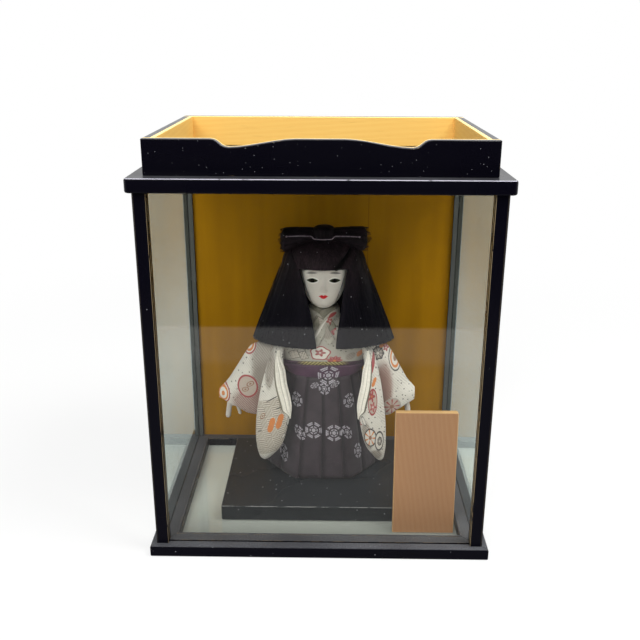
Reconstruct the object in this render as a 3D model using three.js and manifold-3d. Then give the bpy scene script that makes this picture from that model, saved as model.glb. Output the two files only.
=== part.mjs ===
// A dressed play doll standing in a lacquered glass display case.
// Millimetres, X to the viewer's right, Y to the back, Z up, origin under the middle of the base frame.

import * as THREE from 'three';
import { mergeVertices } from 'three/addons/utils/BufferGeometryUtils.js';
import Module from 'manifold-3d';

const wasm = await Module();
wasm.setup();

// Fits shared by all pieces
const FIT = 0.3;
const CLOTH_GAP = 0.4;
const COLLAR_GAP = 1.2;

// Case: posts, base frame and lid board
const CASE_WIDTH = 320;
const CASE_DEPTH = 240;
const POST_SIZE = 12;
const POST_LENGTH = 346.4;
const POST_ROUND = 1.4;
const GROOVE_INSET = 5.5;
const GROOVE_DEPTH = 4.5;
const BASE_LEDGE = 5.5;
const BASE_HEIGHT = 12;
const BASE_RAIL_WIDTH = 25;
const BASE_ROUND = 1.8;
const BASE_BEAD_WIDTH = 2.2;
const BASE_BEAD_HEIGHT = 0.8;
const REBATE_WIDTH = 5;
const LID_OVERHANG = 5.2;
const LID_HEIGHT = 12.6;
const LID_ROUND = 1.8;
const LID_CORNER = 3;
const DOWEL_RADIUS = 2;
const DOWEL_DEPTH = 9;
const DOWEL_INSET = 3.7;

// Panes and the gold backdrop
const GLASS_THICKNESS = 2.4;
const BACK_PANEL_THICKNESS = 3;
const BACKDROP_THICKNESS = 0.8;

// Hollow plinth tray on the lid board
const TRAY_INSET_SIDE = 13.7;
const TRAY_INSET_FRONT = 15.5;
const TRAY_HEIGHT = 31;
const TRAY_WALL = 10;
const TRAY_ROUND = 0.7;
const SCALLOP_SHOULDER = 58;
const SCALLOP_RUN = 16;
const SCALLOP_DEPTH = 7;
const SCALLOP_CROWN = 21;

// Black stand board, its gaps to the base rails, and the doll's place on it
const STAND_WIDTH = 211;
const STAND_FRONT_GAP = 37.5;
const STAND_BACK_GAP = 10.5;
const STAND_OFF_CENTRE = 2;
const STAND_HEIGHT = 17;
const STAND_ROUND = 0.9;
const DOLL_SET_BACK = 21.5;

// Wooden name tablet, which stands by its small foot near the front right corner of the base rails
const TABLET_WIDTH = 62.5;
const TABLET_HEIGHT = 131;
const TABLET_THICKNESS = 7;
const TABLET_LEAN = THREE.MathUtils.degToRad(5);
const TABLET_SIDE_GAP = 3.25;
const TABLET_FRONT_GAP = 18.5;
const FOOT_WIDTH = 30;
const FOOT_DEPTH = 9;
const FOOT_HEIGHT = 15;

// Doll: heights above the stand
const HEM_GAP = 0.3;
const WAIST_HEIGHT = 118.5;
const WAISTBAND_HEIGHT = 17;
const SASH_SHOW = 3.6;
const CLOTH_THICKNESS = 2.4;
const BAND_THICKNESS = 2;
const SASH_THICKNESS = 1.4;
const BODY_FOOT = 108;
const NECK_HEIGHT = 189;
const CORE_BELOW_NECK = 13;
const NECK_Y = -6;
const NECK_RADIUS = 8.5;
const PEG_RADIUS = 4;
const PEG_SOCKET = 18;
const PEG_IN_HEAD = 12;
const LEG_RADIUS = 4.5;
const LEG_SPREAD = 15;
const LEG_SOCKET = 10;
const LEG_IN_BODY = 16;
const WIRE_RADIUS = 1.6;
const WIRE_BACK = 7;
const ARM_BELOW_NECK = 21;
const WRIST_BELOW_NECK = 97;
const WRIST_Y = -14;

// Hakama: waist and hem outlines
const WAIST_HALF_WIDTH = 40.5;
const WAIST_HALF_DEPTH = 32.5;
const HEM_FRONT_HALF = 29;
const HEM_SIDE_HALF = 65;
const HEM_FRONT_Y = -40;
const HEM_SIDE_Y = 4;
const HEM_BACK_Y = 42;
const PLEATS = 6;
const PLEAT_DEPTH = 2.6;
const PANEL_SEAM_GAP = 0.5;

// Sleeves
const SLEEVE_START = 27;
const LEFT_REACH = 88;
const RIGHT_REACH = 74;
const RIGHT_LIFT = 10;
const RIGHT_SAG = 6;
const LEFT_DROP_SCALE = 1;
const RIGHT_DROP_SCALE = 0.8;
const LINING_THICKNESS = 1;

// Head, hair and pin
const CHIN_ABOVE_NECK = 5;
const HEAD_HEIGHT = 67;
const HEAD_HALF_WIDTH = 23.4;
const HEAD_FRONT = -31;
const HEAD_BACK = 25;
const NECK_IN_HEAD = 12;
const NOSE_ABOVE_CHIN = 24;
const NOSE_HALF_WIDTH = 2.2;
const NOSE_OUT = 2.6;
const NOSE_HALF_LENGTH = 4.6;
const HEM_BELOW_NECK = 34.4;
const FRINGE_ABOVE_CHIN = 44.3;
const HAIR_HEM_HALF_WIDTH = 77;
const HAIR_HEM_HALF_DEPTH = 43;
const HAIR_TOP_HALF_WIDTH = 43;
const HAIR_TOP_HALF_DEPTH = 36;
const HAIR_WALL = 4.5;
const CROWN_ABOVE_HEAD = 5;
const HAIR_SEAM = 0.3;
const FRONT_OPENING_TOP = 26;
const FRONT_OPENING_HEM = 10;
const KNOB_RADIUS = 10.8;
const KNOB_RISE = 11;
const KNOB_SUNK = 4;
const KNOB_Y = -5;
const LOOP_REACH = 47;
const LOOP_RISE = 2;
const LOOP_DROP = 9;
const LOOP_SWEEP = 3;
const LOOP_HALF_DEPTH = 10;
const LOOP_HALF_HEIGHT = 11.5;
const PIN_RADIUS = 0.7;
const PIN_HALF_LENGTH = 38.8;
const PIN_OFF_CENTRE = -0.8;
const PIN_Y = -19.5;
const PIN_RISE = 2.6;
const PIN_DIP = 3.6;

// Places worked out from the sizes above
const baseHalfX = CASE_WIDTH / 2 + BASE_LEDGE;
const baseHalfY = CASE_DEPTH / 2 + BASE_LEDGE;
const roomHalfX = baseHalfX - BASE_RAIL_WIDTH;
const roomHalfY = baseHalfY - BASE_RAIL_WIDTH;
const standDepth = 2 * roomHalfY - STAND_FRONT_GAP - STAND_BACK_GAP;
const standY = roomHalfY - STAND_BACK_GAP - standDepth / 2;
const tabletX = roomHalfX - TABLET_SIDE_GAP - TABLET_WIDTH / 2;
const tabletY = TABLET_FRONT_GAP - roomHalfY;
const lidBottom = BASE_HEIGHT + POST_LENGTH;
const lidTop = lidBottom + LID_HEIGHT;
const paneX = CASE_WIDTH / 2 - GROOVE_INSET;
const paneY = CASE_DEPTH / 2 - GROOVE_INSET;
const backThickness = BACK_PANEL_THICKNESS + BACKDROP_THICKNESS;
const paneBottom = BASE_HEIGHT - GROOVE_DEPTH + FIT;
const paneTop = lidBottom + GROOVE_DEPTH - FIT;
const standTop = GLASS_THICKNESS + STAND_HEIGHT;
const armHeight = NECK_HEIGHT - ARM_BELOW_NECK;
const wristHeight = NECK_HEIGHT - WRIST_BELOW_NECK;
const headChin = NECK_HEIGHT + CHIN_ABOVE_NECK;
const headTop = headChin + HEAD_HEIGHT;
const hairHem = NECK_HEIGHT - HEM_BELOW_NECK;
const fringeHeight = headChin + FRINGE_ABOVE_CHIN;
const hairCrown = headTop + CROWN_ABOVE_HEAD;

// Finishes
const lacquer = { color: 0x17161c, roughness: 0.32, metalness: 0 };
const glassFinish = { color: 0xdfe6e2, roughness: 0.05, metalness: 0, transparent: true, opacity: 0.25 };
const plainWood = { color: 0xd9a258, roughness: 0.6, metalness: 0 };
const goldPaper = { color: 0x8a6a14, roughness: 0.5, metalness: 0.3 };
const brocade = { color: 0xe0d9cc, roughness: 0.8, metalness: 0 };
const liningSilk = { color: 0xe9e4cf, roughness: 0.7, metalness: 0 };
const hakamaCloth = { color: 0x3f353d, roughness: 0.85, metalness: 0 };
const bandCloth = { color: 0x5a3c55, roughness: 0.8, metalness: 0 };
const sashCloth = { color: 0x8f7a2c, roughness: 0.7, metalness: 0.1 };
const shellWhite = { color: 0xe7e5df, roughness: 0.45, metalness: 0 };
const hairBlack = { color: 0x151214, roughness: 0.55, metalness: 0 };
const strawCore = { color: 0xb39b63, roughness: 0.95, metalness: 0 };
const steelWire = { color: 0x8d9096, roughness: 0.4, metalness: 0.9 };
const pinSilver = { color: 0xb9aec6, roughness: 0.35, metalness: 0.5 };

const model = new THREE.Group();

function addPart(group, name, geometry, finish) {
  const mesh = new THREE.Mesh(geometry, new THREE.MeshStandardMaterial(finish));
  mesh.name = name;
  group.add(mesh);
  return mesh;
}

function bareGeometry(geometry) {
  geometry.deleteAttribute('normal');
  geometry.deleteAttribute('uv');
  return mergeVertices(geometry, 1e-4);
}

function solidOf(geometry) {
  const bare = bareGeometry(geometry.clone());
  const vertProperties = new Float32Array(bare.attributes.position.array);
  const triVerts = new Uint32Array(bare.index.array);
  return new wasm.Manifold(new wasm.Mesh({ numProp: 3, vertProperties, triVerts }));
}

function geometryOf(solid) {
  const mesh = solid.getMesh();
  const geometry = new THREE.BufferGeometry();
  geometry.setAttribute('position', new THREE.BufferAttribute(new Float32Array(mesh.vertProperties), 3));
  geometry.setIndex(new THREE.BufferAttribute(new Uint32Array(mesh.triVerts), 1));
  return geometry;
}

function cut(geometry, ...tools) {
  return geometryOf(tools.reduce((solid, tool) => solid.subtract(solidOf(tool)), solidOf(geometry)));
}

function join(...geometries) {
  return geometryOf(geometries.map(solidOf).reduce((whole, solid) => whole.add(solid)));
}

function common(geometry, other) {
  return geometryOf(solidOf(geometry).intersect(solidOf(other)));
}

function block(x0, x1, y0, y1, z0, z1) {
  const geometry = new THREE.BoxGeometry(x1 - x0, y1 - y0, z1 - z0);
  return geometry.translate((x0 + x1) / 2, (y0 + y1) / 2, (z0 + z1) / 2);
}

function rod(radius, x, y, z0, z1, sides = 12) {
  const geometry = new THREE.CylinderGeometry(radius, radius, z1 - z0, sides);
  return geometry.rotateX(Math.PI / 2).translate(x, y, (z0 + z1) / 2);
}

function tube(points, radius, steps, quarterSides = 2) {
  const section = new THREE.Shape();
  section.absarc(0, 0, radius, 0, Math.PI * 2);
  const extrudePath = new THREE.CatmullRomCurve3(points);
  return new THREE.ExtrudeGeometry(section, {
    extrudePath, steps, curveSegments: 2 * quarterSides,
  });
}

// A closed body from vertices and triangles, turned so that its faces point out
function closedBody(points, triangles) {
  const faces = triangles.slice();
  let volume = 0;
  for (let i = 0; i < faces.length; i += 3) {
    const [a, b, c] = [points[faces[i]], points[faces[i + 1]], points[faces[i + 2]]];
    volume += a.dot(b.clone().cross(c));
  }
  if (volume < 0) {
    faces.reverse();
  }
  const geometry = new THREE.BufferGeometry();
  geometry.setFromPoints(points);
  geometry.setIndex(faces);
  return geometry;
}

// A solid lofted through rings of points, closed by a fan at each end
function loft(pointAt, columns, rows) {
  const points = [];
  const triangles = [];
  for (let row = 0; row <= rows; row += 1) {
    for (let column = 0; column < columns; column += 1) {
      points.push(pointAt(column / columns, row / rows));
    }
  }
  for (let row = 0; row < rows; row += 1) {
    for (let column = 0; column < columns; column += 1) {
      const next = (column + 1) % columns;
      const [a, b] = [row * columns + column, row * columns + next];
      triangles.push(a, b, b + columns, a, b + columns, a + columns);
    }
  }
  for (const row of [0, rows]) {
    const ring = points.slice(row * columns, (row + 1) * columns);
    const centre = ring.reduce((sum, point) => sum.add(point), new THREE.Vector3()).divideScalar(columns);
    const hub = points.push(centre) - 1;
    for (let column = 0; column < columns; column += 1) {
      const next = (column + 1) % columns;
      const [a, b] = [row * columns + column, row * columns + next];
      triangles.push(...(row === 0 ? [hub, b, a] : [hub, a, b]));
    }
  }
  return closedBody(points, triangles);
}

// A sheet with thickness between an outer and an inner surface; a wrapped one closes into a ring
function sheet(outerAt, innerAt, columns, rows, wrapped = false) {
  const across = wrapped ? columns : columns + 1;
  const layer = across * (rows + 1);
  const points = [];
  const triangles = [];
  for (const surface of [outerAt, innerAt]) {
    for (let row = 0; row <= rows; row += 1) {
      for (let column = 0; column < across; column += 1) {
        points.push(surface(column / columns, row / rows));
      }
    }
  }
  const quad = (a, b, c, d) => triangles.push(a, b, c, a, c, d);
  for (let column = 0; column < columns; column += 1) {
    const next = (column + 1) % across;
    for (let row = 0; row < rows; row += 1) {
      const [a, b] = [row * across + column, row * across + next];
      quad(a, b, b + across, a + across);
      quad(layer + a, layer + a + across, layer + b + across, layer + b);
    }
    const top = rows * across;
    quad(column, layer + column, layer + next, next);
    quad(top + column, top + next, layer + top + next, layer + top + column);
  }
  for (let row = 0; row < rows && !wrapped; row += 1) {
    const [a, b] = [row * across, row * across + columns];
    quad(a, a + across, layer + a + across, layer + a);
    quad(b, layer + b, layer + b + across, b + across);
  }
  return closedBody(points, triangles);
}

// A smooth row of values read along a short table of rows
function alongRows(rows, t) {
  const place = Math.min(Math.max(t, 0), 1) * (rows.length - 1);
  const index = Math.min(Math.floor(place), rows.length - 2);
  const [a, b, c, d] = [-1, 0, 1, 2].map((step) =>
    rows[Math.min(Math.max(index + step, 0), rows.length - 1)]);
  const f = place - index;
  return b.map((value, k) => {
    const bend = 2 * a[k] - 5 * value + 4 * c[k] - d[k];
    const sway = 3 * value - a[k] - 3 * c[k] + d[k];
    return value + 0.5 * f * (c[k] - a[k] + f * (bend + f * sway));
  });
}

// Base frame: four mitred rails with a pane groove, an inner bead and a rebate for the floor pane
function railProfile(grooveWidth) {
  const grooveAt = BASE_LEDGE + GROOVE_INSET;
  const beadStart = BASE_RAIL_WIDTH - BASE_BEAD_WIDTH;
  const rebateTop = GLASS_THICKNESS + FIT;
  const shape = new THREE.Shape();
  shape.moveTo(BASE_ROUND, 0);
  shape.lineTo(BASE_RAIL_WIDTH - REBATE_WIDTH, 0);
  shape.lineTo(BASE_RAIL_WIDTH - REBATE_WIDTH, rebateTop);
  shape.lineTo(BASE_RAIL_WIDTH, rebateTop);
  shape.lineTo(BASE_RAIL_WIDTH, BASE_HEIGHT);
  shape.quadraticCurveTo(
    BASE_RAIL_WIDTH - BASE_BEAD_WIDTH / 2, BASE_HEIGHT + 2 * BASE_BEAD_HEIGHT, beadStart, BASE_HEIGHT);
  shape.lineTo(grooveAt + grooveWidth / 2, BASE_HEIGHT);
  shape.lineTo(grooveAt + grooveWidth / 2, BASE_HEIGHT - GROOVE_DEPTH);
  shape.lineTo(grooveAt - grooveWidth / 2, BASE_HEIGHT - GROOVE_DEPTH);
  shape.lineTo(grooveAt - grooveWidth / 2, BASE_HEIGHT);
  shape.lineTo(BASE_ROUND, BASE_HEIGHT);
  shape.absarc(BASE_ROUND, BASE_HEIGHT - BASE_ROUND, BASE_ROUND, Math.PI / 2, Math.PI);
  shape.absarc(BASE_ROUND, BASE_ROUND, BASE_ROUND, Math.PI, Math.PI * 1.5);
  return shape;
}

function dowelPlace(sideX, sideY) {
  return [
    sideX * (CASE_WIDTH / 2 - DOWEL_INSET),
    sideY * (CASE_DEPTH / 2 - DOWEL_INSET),
  ];
}

function dowelHoles() {
  return [[-1, -1], [1, -1], [-1, 1], [1, 1]].map((sides) => {
    const [x, y] = dowelPlace(...sides);
    return rod(DOWEL_RADIUS + FIT, x, y, BASE_HEIGHT - DOWEL_DEPTH, BASE_HEIGHT + 1);
  });
}

function baseRail(halfLength, halfAcross, grooveWidth, turn) {
  const long = new THREE.ExtrudeGeometry(railProfile(grooveWidth), {
    depth: 2 * halfLength, bevelEnabled: false, curveSegments: 4,
  });
  long.rotateX(Math.PI / 2).rotateZ(Math.PI / 2).translate(-halfLength, -halfAcross, 0);
  const plan = new THREE.Shape();
  const endGap = FIT / 2;
  const tip = halfLength - endGap;
  plan.moveTo(-tip, -halfAcross - 1);
  plan.lineTo(tip, -halfAcross - 1);
  plan.lineTo(tip, -halfAcross);
  plan.lineTo(tip - BASE_RAIL_WIDTH - 1, -halfAcross + BASE_RAIL_WIDTH + 1);
  plan.lineTo(-tip + BASE_RAIL_WIDTH + 1, -halfAcross + BASE_RAIL_WIDTH + 1);
  plan.lineTo(-tip, -halfAcross);
  const wedge = new THREE.ExtrudeGeometry(plan, { depth: BASE_HEIGHT + 4, bevelEnabled: false });
  wedge.translate(0, 0, -1);
  return cut(common(long, wedge).rotateZ(turn), ...dowelHoles());
}

const glassGroove = GLASS_THICKNESS + 2 * FIT;
const backGroove = backThickness + 2 * FIT;
addPart(model, 'base_rail_front', baseRail(baseHalfX, baseHalfY, glassGroove, 0), lacquer);
addPart(model, 'base_rail_back', baseRail(baseHalfX, baseHalfY, backGroove, Math.PI), lacquer);
addPart(model, 'base_rail_right', baseRail(baseHalfY, baseHalfX, glassGroove, Math.PI / 2), lacquer);
addPart(model, 'base_rail_left', baseRail(baseHalfY, baseHalfX, glassGroove, -Math.PI / 2), lacquer);

const floorHalfX = baseHalfX - BASE_RAIL_WIDTH + REBATE_WIDTH - FIT;
const floorHalfY = baseHalfY - BASE_RAIL_WIDTH + REBATE_WIDTH - FIT;
addPart(model, 'floor_pane', block(-floorHalfX, floorHalfX, -floorHalfY, floorHalfY, 0, GLASS_THICKNESS),
  glassFinish);

// Corner posts, grooved on their two inner faces, on dowels
function cornerPost(sideX, sideY) {
  const across = sideY < 0 ? glassGroove : backGroove;
  const deep = POST_SIZE - GROOVE_DEPTH;
  const outline = [
    [POST_ROUND, 0], [POST_SIZE, 0],
    [POST_SIZE, GROOVE_INSET - across / 2], [deep, GROOVE_INSET - across / 2],
    [deep, GROOVE_INSET + across / 2], [POST_SIZE, GROOVE_INSET + across / 2],
    [POST_SIZE, POST_SIZE], [GROOVE_INSET + glassGroove / 2, POST_SIZE],
    [GROOVE_INSET + glassGroove / 2, deep], [GROOVE_INSET - glassGroove / 2, deep],
    [GROOVE_INSET - glassGroove / 2, POST_SIZE], [0, POST_SIZE], [0, POST_ROUND],
  ].map(([x, y]) => new THREE.Vector2(
    sideX * (CASE_WIDTH / 2 - x), sideY * (CASE_DEPTH / 2 - y)));
  const long = new THREE.ExtrudeGeometry(new THREE.Shape(outline), {
    depth: POST_LENGTH, bevelEnabled: false,
  });
  const [x, y] = dowelPlace(sideX, sideY);
  const hole = rod(DOWEL_RADIUS + FIT, x, y, BASE_HEIGHT - 1, BASE_HEIGHT + DOWEL_DEPTH);
  return cut(long.translate(0, 0, BASE_HEIGHT), hole);
}

for (const [name, sideX, sideY] of [
  ['front_left', -1, -1], ['front_right', 1, -1], ['back_left', -1, 1], ['back_right', 1, 1],
]) {
  const [x, y] = dowelPlace(sideX, sideY);
  const [low, high] = [BASE_HEIGHT - DOWEL_DEPTH + FIT, BASE_HEIGHT + DOWEL_DEPTH - FIT];
  addPart(model, `post_${name}`, cornerPost(sideX, sideY), lacquer);
  addPart(model, `dowel_${name}`, rod(DOWEL_RADIUS, x, y, low, high), plainWood);
}

// Panes stand in the grooves of the rails and posts and reach up into the lid's grooves
const paneHalfX = CASE_WIDTH / 2 - POST_SIZE + GROOVE_DEPTH - FIT;
const paneHalfY = CASE_DEPTH / 2 - POST_SIZE + GROOVE_DEPTH - FIT;
const halfGlass = GLASS_THICKNESS / 2;
addPart(model, 'front_glass', block(-paneHalfX, paneHalfX, -paneY - halfGlass, -paneY + halfGlass,
  paneBottom, paneTop), glassFinish);
for (const [name, side] of [['left_glass', -1], ['right_glass', 1]]) {
  addPart(model, name, block(side * paneX - halfGlass, side * paneX + halfGlass, -paneHalfY, paneHalfY,
    paneBottom, paneTop), glassFinish);
}
const backdropFront = paneY - backThickness / 2;
addPart(model, 'gold_backdrop', block(-paneHalfX, paneHalfX, backdropFront,
  backdropFront + BACKDROP_THICKNESS, paneBottom, paneTop), goldPaper);
addPart(model, 'back_panel', block(-paneHalfX, paneHalfX, backdropFront + BACKDROP_THICKNESS,
  backdropFront + backThickness, paneBottom, paneTop), plainWood);

// Lid board with rounded edges, grooved below to drop over the panes
const lid = new THREE.Group();
model.add(lid);
const lidHalfX = CASE_WIDTH / 2 + LID_OVERHANG;
const lidHalfY = CASE_DEPTH / 2 + LID_OVERHANG;

function roundedRectangle(halfX, halfY, corner) {
  const shape = new THREE.Shape();
  shape.moveTo(-halfX + corner, -halfY);
  shape.absarc(halfX - corner, -halfY + corner, corner, -Math.PI / 2, 0);
  shape.absarc(halfX - corner, halfY - corner, corner, 0, Math.PI / 2);
  shape.absarc(-halfX + corner, halfY - corner, corner, Math.PI / 2, Math.PI);
  shape.absarc(-halfX + corner, -halfY + corner, corner, Math.PI, Math.PI * 1.5);
  return shape;
}

function roundedBoard(halfX, halfY, height, corner, round) {
  const shape = roundedRectangle(halfX - round, halfY - round, corner);
  const board = new THREE.ExtrudeGeometry(shape, {
    depth: height - 2 * round, bevelThickness: round, bevelSize: round, bevelSegments: 2, curveSegments: 2,
  });
  return board.translate(0, 0, round);
}

function lidBoard() {
  const board = roundedBoard(lidHalfX, lidHalfY, LID_HEIGHT, LID_CORNER, LID_ROUND).translate(0, 0, lidBottom);
  const roof = lidBottom + GROOVE_DEPTH;
  const under = lidBottom - 1;
  const endX = paneHalfX + FIT;
  const endY = paneHalfY + FIT;
  return cut(board,
    block(-endX, endX, -paneY - glassGroove / 2, -paneY + glassGroove / 2, under, roof),
    block(-endX, endX, paneY - backGroove / 2, paneY + backGroove / 2, under, roof),
    block(-paneX - glassGroove / 2, -paneX + glassGroove / 2, -endY, endY, under, roof),
    block(paneX - glassGroove / 2, paneX + glassGroove / 2, -endY, endY, under, roof));
}
addPart(lid, 'lid_board', lidBoard(), lacquer);

// Tray boards: the front one scalloped, the side ones between front and back
const trayHalfX = lidHalfX - TRAY_INSET_SIDE;
const trayHalfY = lidHalfY - TRAY_INSET_FRONT;

function standingBoard(shape, thickness) {
  const board = new THREE.ExtrudeGeometry(shape, {
    depth: thickness - 2 * TRAY_ROUND, bevelThickness: TRAY_ROUND, bevelSize: TRAY_ROUND,
    bevelOffset: -TRAY_ROUND, bevelSegments: 2, curveSegments: 6,
  });
  return board.translate(0, 0, TRAY_ROUND - thickness / 2).rotateX(Math.PI / 2);
}

function scallopedFront() {
  const dip = TRAY_HEIGHT - SCALLOP_DEPTH;
  const shoulder = trayHalfX - SCALLOP_SHOULDER;
  const low = shoulder - SCALLOP_RUN;
  const shape = new THREE.Shape();
  shape.moveTo(-trayHalfX, 0);
  shape.lineTo(trayHalfX, 0);
  shape.lineTo(trayHalfX, TRAY_HEIGHT);
  shape.lineTo(shoulder, TRAY_HEIGHT);
  shape.bezierCurveTo(shoulder - SCALLOP_RUN / 2, TRAY_HEIGHT, low + SCALLOP_RUN / 2, dip, low, dip);
  shape.bezierCurveTo(low - SCALLOP_RUN, dip, SCALLOP_CROWN + SCALLOP_RUN, TRAY_HEIGHT,
    SCALLOP_CROWN, TRAY_HEIGHT);
  shape.lineTo(-SCALLOP_CROWN, TRAY_HEIGHT);
  shape.bezierCurveTo(-SCALLOP_CROWN - SCALLOP_RUN, TRAY_HEIGHT, -low + SCALLOP_RUN, dip, -low, dip);
  shape.bezierCurveTo(-low - SCALLOP_RUN / 2, dip, -shoulder + SCALLOP_RUN / 2, TRAY_HEIGHT,
    -shoulder, TRAY_HEIGHT);
  shape.lineTo(-trayHalfX, TRAY_HEIGHT);
  return standingBoard(shape, TRAY_WALL);
}

function plainBoard(halfLength) {
  const shape = new THREE.Shape();
  shape.moveTo(-halfLength, 0);
  shape.lineTo(halfLength, 0);
  shape.lineTo(halfLength, TRAY_HEIGHT);
  shape.lineTo(-halfLength, TRAY_HEIGHT);
  return standingBoard(shape, TRAY_WALL);
}

const trayFrontY = trayHalfY - TRAY_WALL / 2;
const traySideX = trayHalfX - TRAY_WALL / 2;
const traySideHalf = trayHalfY - TRAY_WALL;
addPart(lid, 'tray_front_board', scallopedFront().translate(0, -trayFrontY, lidTop), lacquer);
addPart(lid, 'tray_back_board', plainBoard(trayHalfX).translate(0, trayFrontY, lidTop), lacquer);
for (const [name, side] of [['tray_left_board', -1], ['tray_right_board', 1]]) {
  const board = plainBoard(traySideHalf).rotateZ(Math.PI / 2).translate(side * traySideX, 0, lidTop);
  addPart(lid, name, board, lacquer);
}

// Name tablet: a plain leaning board with its foot sawn level, and a glued foot block behind it
function nameTablet() {
  const long = TABLET_HEIGHT + TABLET_THICKNESS;
  const round = TABLET_THICKNESS / 10;
  const board = roundedBoard(TABLET_WIDTH / 2, long / 2, TABLET_THICKNESS, round, round);
  board.rotateX(Math.PI / 2).translate(0, TABLET_THICKNESS, long / 2 - TABLET_THICKNESS);
  board.rotateX(-TABLET_LEAN);
  const below = block(-TABLET_WIDTH, TABLET_WIDTH, -long, long, -long, 0);
  return cut(board, below).translate(tabletX, tabletY, GLASS_THICKNESS);
}

function tabletFoot() {
  const slope = Math.tan(TABLET_LEAN);
  const front = TABLET_THICKNESS / Math.cos(TABLET_LEAN) + FIT;
  const side = new THREE.Shape();
  side.moveTo(front, 0);
  side.lineTo(front + FOOT_DEPTH, 0);
  side.lineTo(front + FOOT_DEPTH, FOOT_HEIGHT / 2);
  side.lineTo(front + FOOT_HEIGHT * slope + 1, FOOT_HEIGHT);
  side.lineTo(front + FOOT_HEIGHT * slope, FOOT_HEIGHT);
  const wedge = new THREE.ExtrudeGeometry(side, { depth: FOOT_WIDTH, bevelEnabled: false });
  wedge.rotateX(Math.PI / 2).rotateZ(Math.PI / 2);
  return wedge.translate(tabletX - FOOT_WIDTH / 2, tabletY, GLASS_THICKNESS);
}

const tablet = new THREE.Group();
model.add(tablet);
addPart(tablet, 'name_board', nameTablet(), plainWood);
addPart(tablet, 'name_board_foot', tabletFoot(), plainWood);

// Doll: all its pieces are set out from the stand's top under the doll's axis
const doll = new THREE.Group();
doll.position.set(STAND_OFF_CENTRE, standY + DOLL_SET_BACK, standTop);
model.add(doll);

function legHole(side) {
  return rod(LEG_RADIUS + FIT, side * LEG_SPREAD, 0, -LEG_SOCKET, 1);
}

function standBoard() {
  const board = roundedBoard(STAND_WIDTH / 2, standDepth / 2, STAND_HEIGHT, STAND_ROUND, STAND_ROUND);
  return cut(board.translate(0, -DOLL_SET_BACK, -STAND_HEIGHT), legHole(-1), legHole(1));
}
addPart(doll, 'doll_stand', standBoard(), lacquer);

// Padded body: half width, half depth and middle of each level up to the neck
const waistTop = WAIST_HEIGHT + WAISTBAND_HEIGHT;
const bodyLevels = [
  [BODY_FOOT, WAIST_HALF_WIDTH - 4, WAIST_HALF_DEPTH - 4, 0],
  [WAIST_HEIGHT, WAIST_HALF_WIDTH - 4, WAIST_HALF_DEPTH - 4, 0],
  [waistTop, WAIST_HALF_WIDTH - 3, WAIST_HALF_DEPTH - 4.5, -1],
  [hairHem, WAIST_HALF_WIDTH - 1, WAIST_HALF_DEPTH - 5, -2],
  [hairHem + 11, WAIST_HALF_WIDTH - 4, WAIST_HALF_DEPTH - 8, -3],
  [NECK_HEIGHT - 14, 29, 19, -4],
  [NECK_HEIGHT - 7, 18, 15.5, -5],
  [NECK_HEIGHT, 13.6, 13.4, NECK_Y],
];

function bodyPoint(turn, height, out) {
  const next = Math.max(1, bodyLevels.findIndex(([level]) => level >= height));
  const [below, above] = [bodyLevels[next - 1], bodyLevels[next]];
  const share = (height - below[0]) / (above[0] - below[0]);
  const [, halfWidth, halfDepth, middle] = below.map((value, k) =>
    THREE.MathUtils.lerp(value, above[k], share));
  const angle = turn * Math.PI * 2;
  return new THREE.Vector3(
    (halfWidth + out) * Math.cos(angle), middle + (halfDepth + out) * Math.sin(angle), height);
}

// Layers of the body all turn at the same levels and columns, so that no layer cuts the one below
const BODY_COLUMNS = 24;

function levelsBetween(lowest, highest) {
  const inner = bodyLevels.map(([level]) => level).filter((level) => level > lowest && level < highest);
  return [lowest, ...inner, highest];
}

function bodyRing(lowest, highest, near, far) {
  const levels = levelsBetween(lowest, highest);
  const rows = levels.length - 1;
  const layer = (out) => (u, v) => bodyPoint(u, levels[Math.round(v * rows)], out);
  return sheet(layer(far), layer(near), BODY_COLUMNS, rows, true);
}

function bodySolid(lowest, highest, out) {
  const levels = levelsBetween(lowest, highest);
  const rows = levels.length - 1;
  return loft((u, v) => bodyPoint(u, levels[Math.round(v * rows)], out), BODY_COLUMNS, rows);
}

// Arm wire through the body, behind the neck peg, down into both hands
function armPoint(side, along) {
  const reach = side < 0 ? LEFT_REACH : RIGHT_REACH;
  const lift = side < 0 ? 0 : RIGHT_LIFT;
  const rows = [[0.02, 0, 0], [0.25, 0.43, 0.2], [0.55, 0.9, 0.57], [0.78, 1, 0.9], [0.83, 1, 1]];
  const [share, forward, fall] = alongRows(rows, along);
  return new THREE.Vector3(
    side * (SLEEVE_START + reach * share),
    THREE.MathUtils.lerp(WIRE_BACK, WRIST_Y, forward),
    THREE.MathUtils.lerp(armHeight, wristHeight, fall) + lift * share);
}

const armSteps = [0, 0.25, 0.5, 0.75, 1];
const wirePath = [
  ...armSteps.map((step) => armPoint(-1, step)).reverse(),
  new THREE.Vector3(0, WIRE_BACK, armHeight),
  ...armSteps.map((step) => armPoint(1, step)),
];
const wireSteps = 30;
const wireChannel = tube(wirePath, WIRE_RADIUS + 2 * FIT, wireSteps);
addPart(doll, 'arm_wire', tube(wirePath, WIRE_RADIUS, wireSteps), steelWire);

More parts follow.
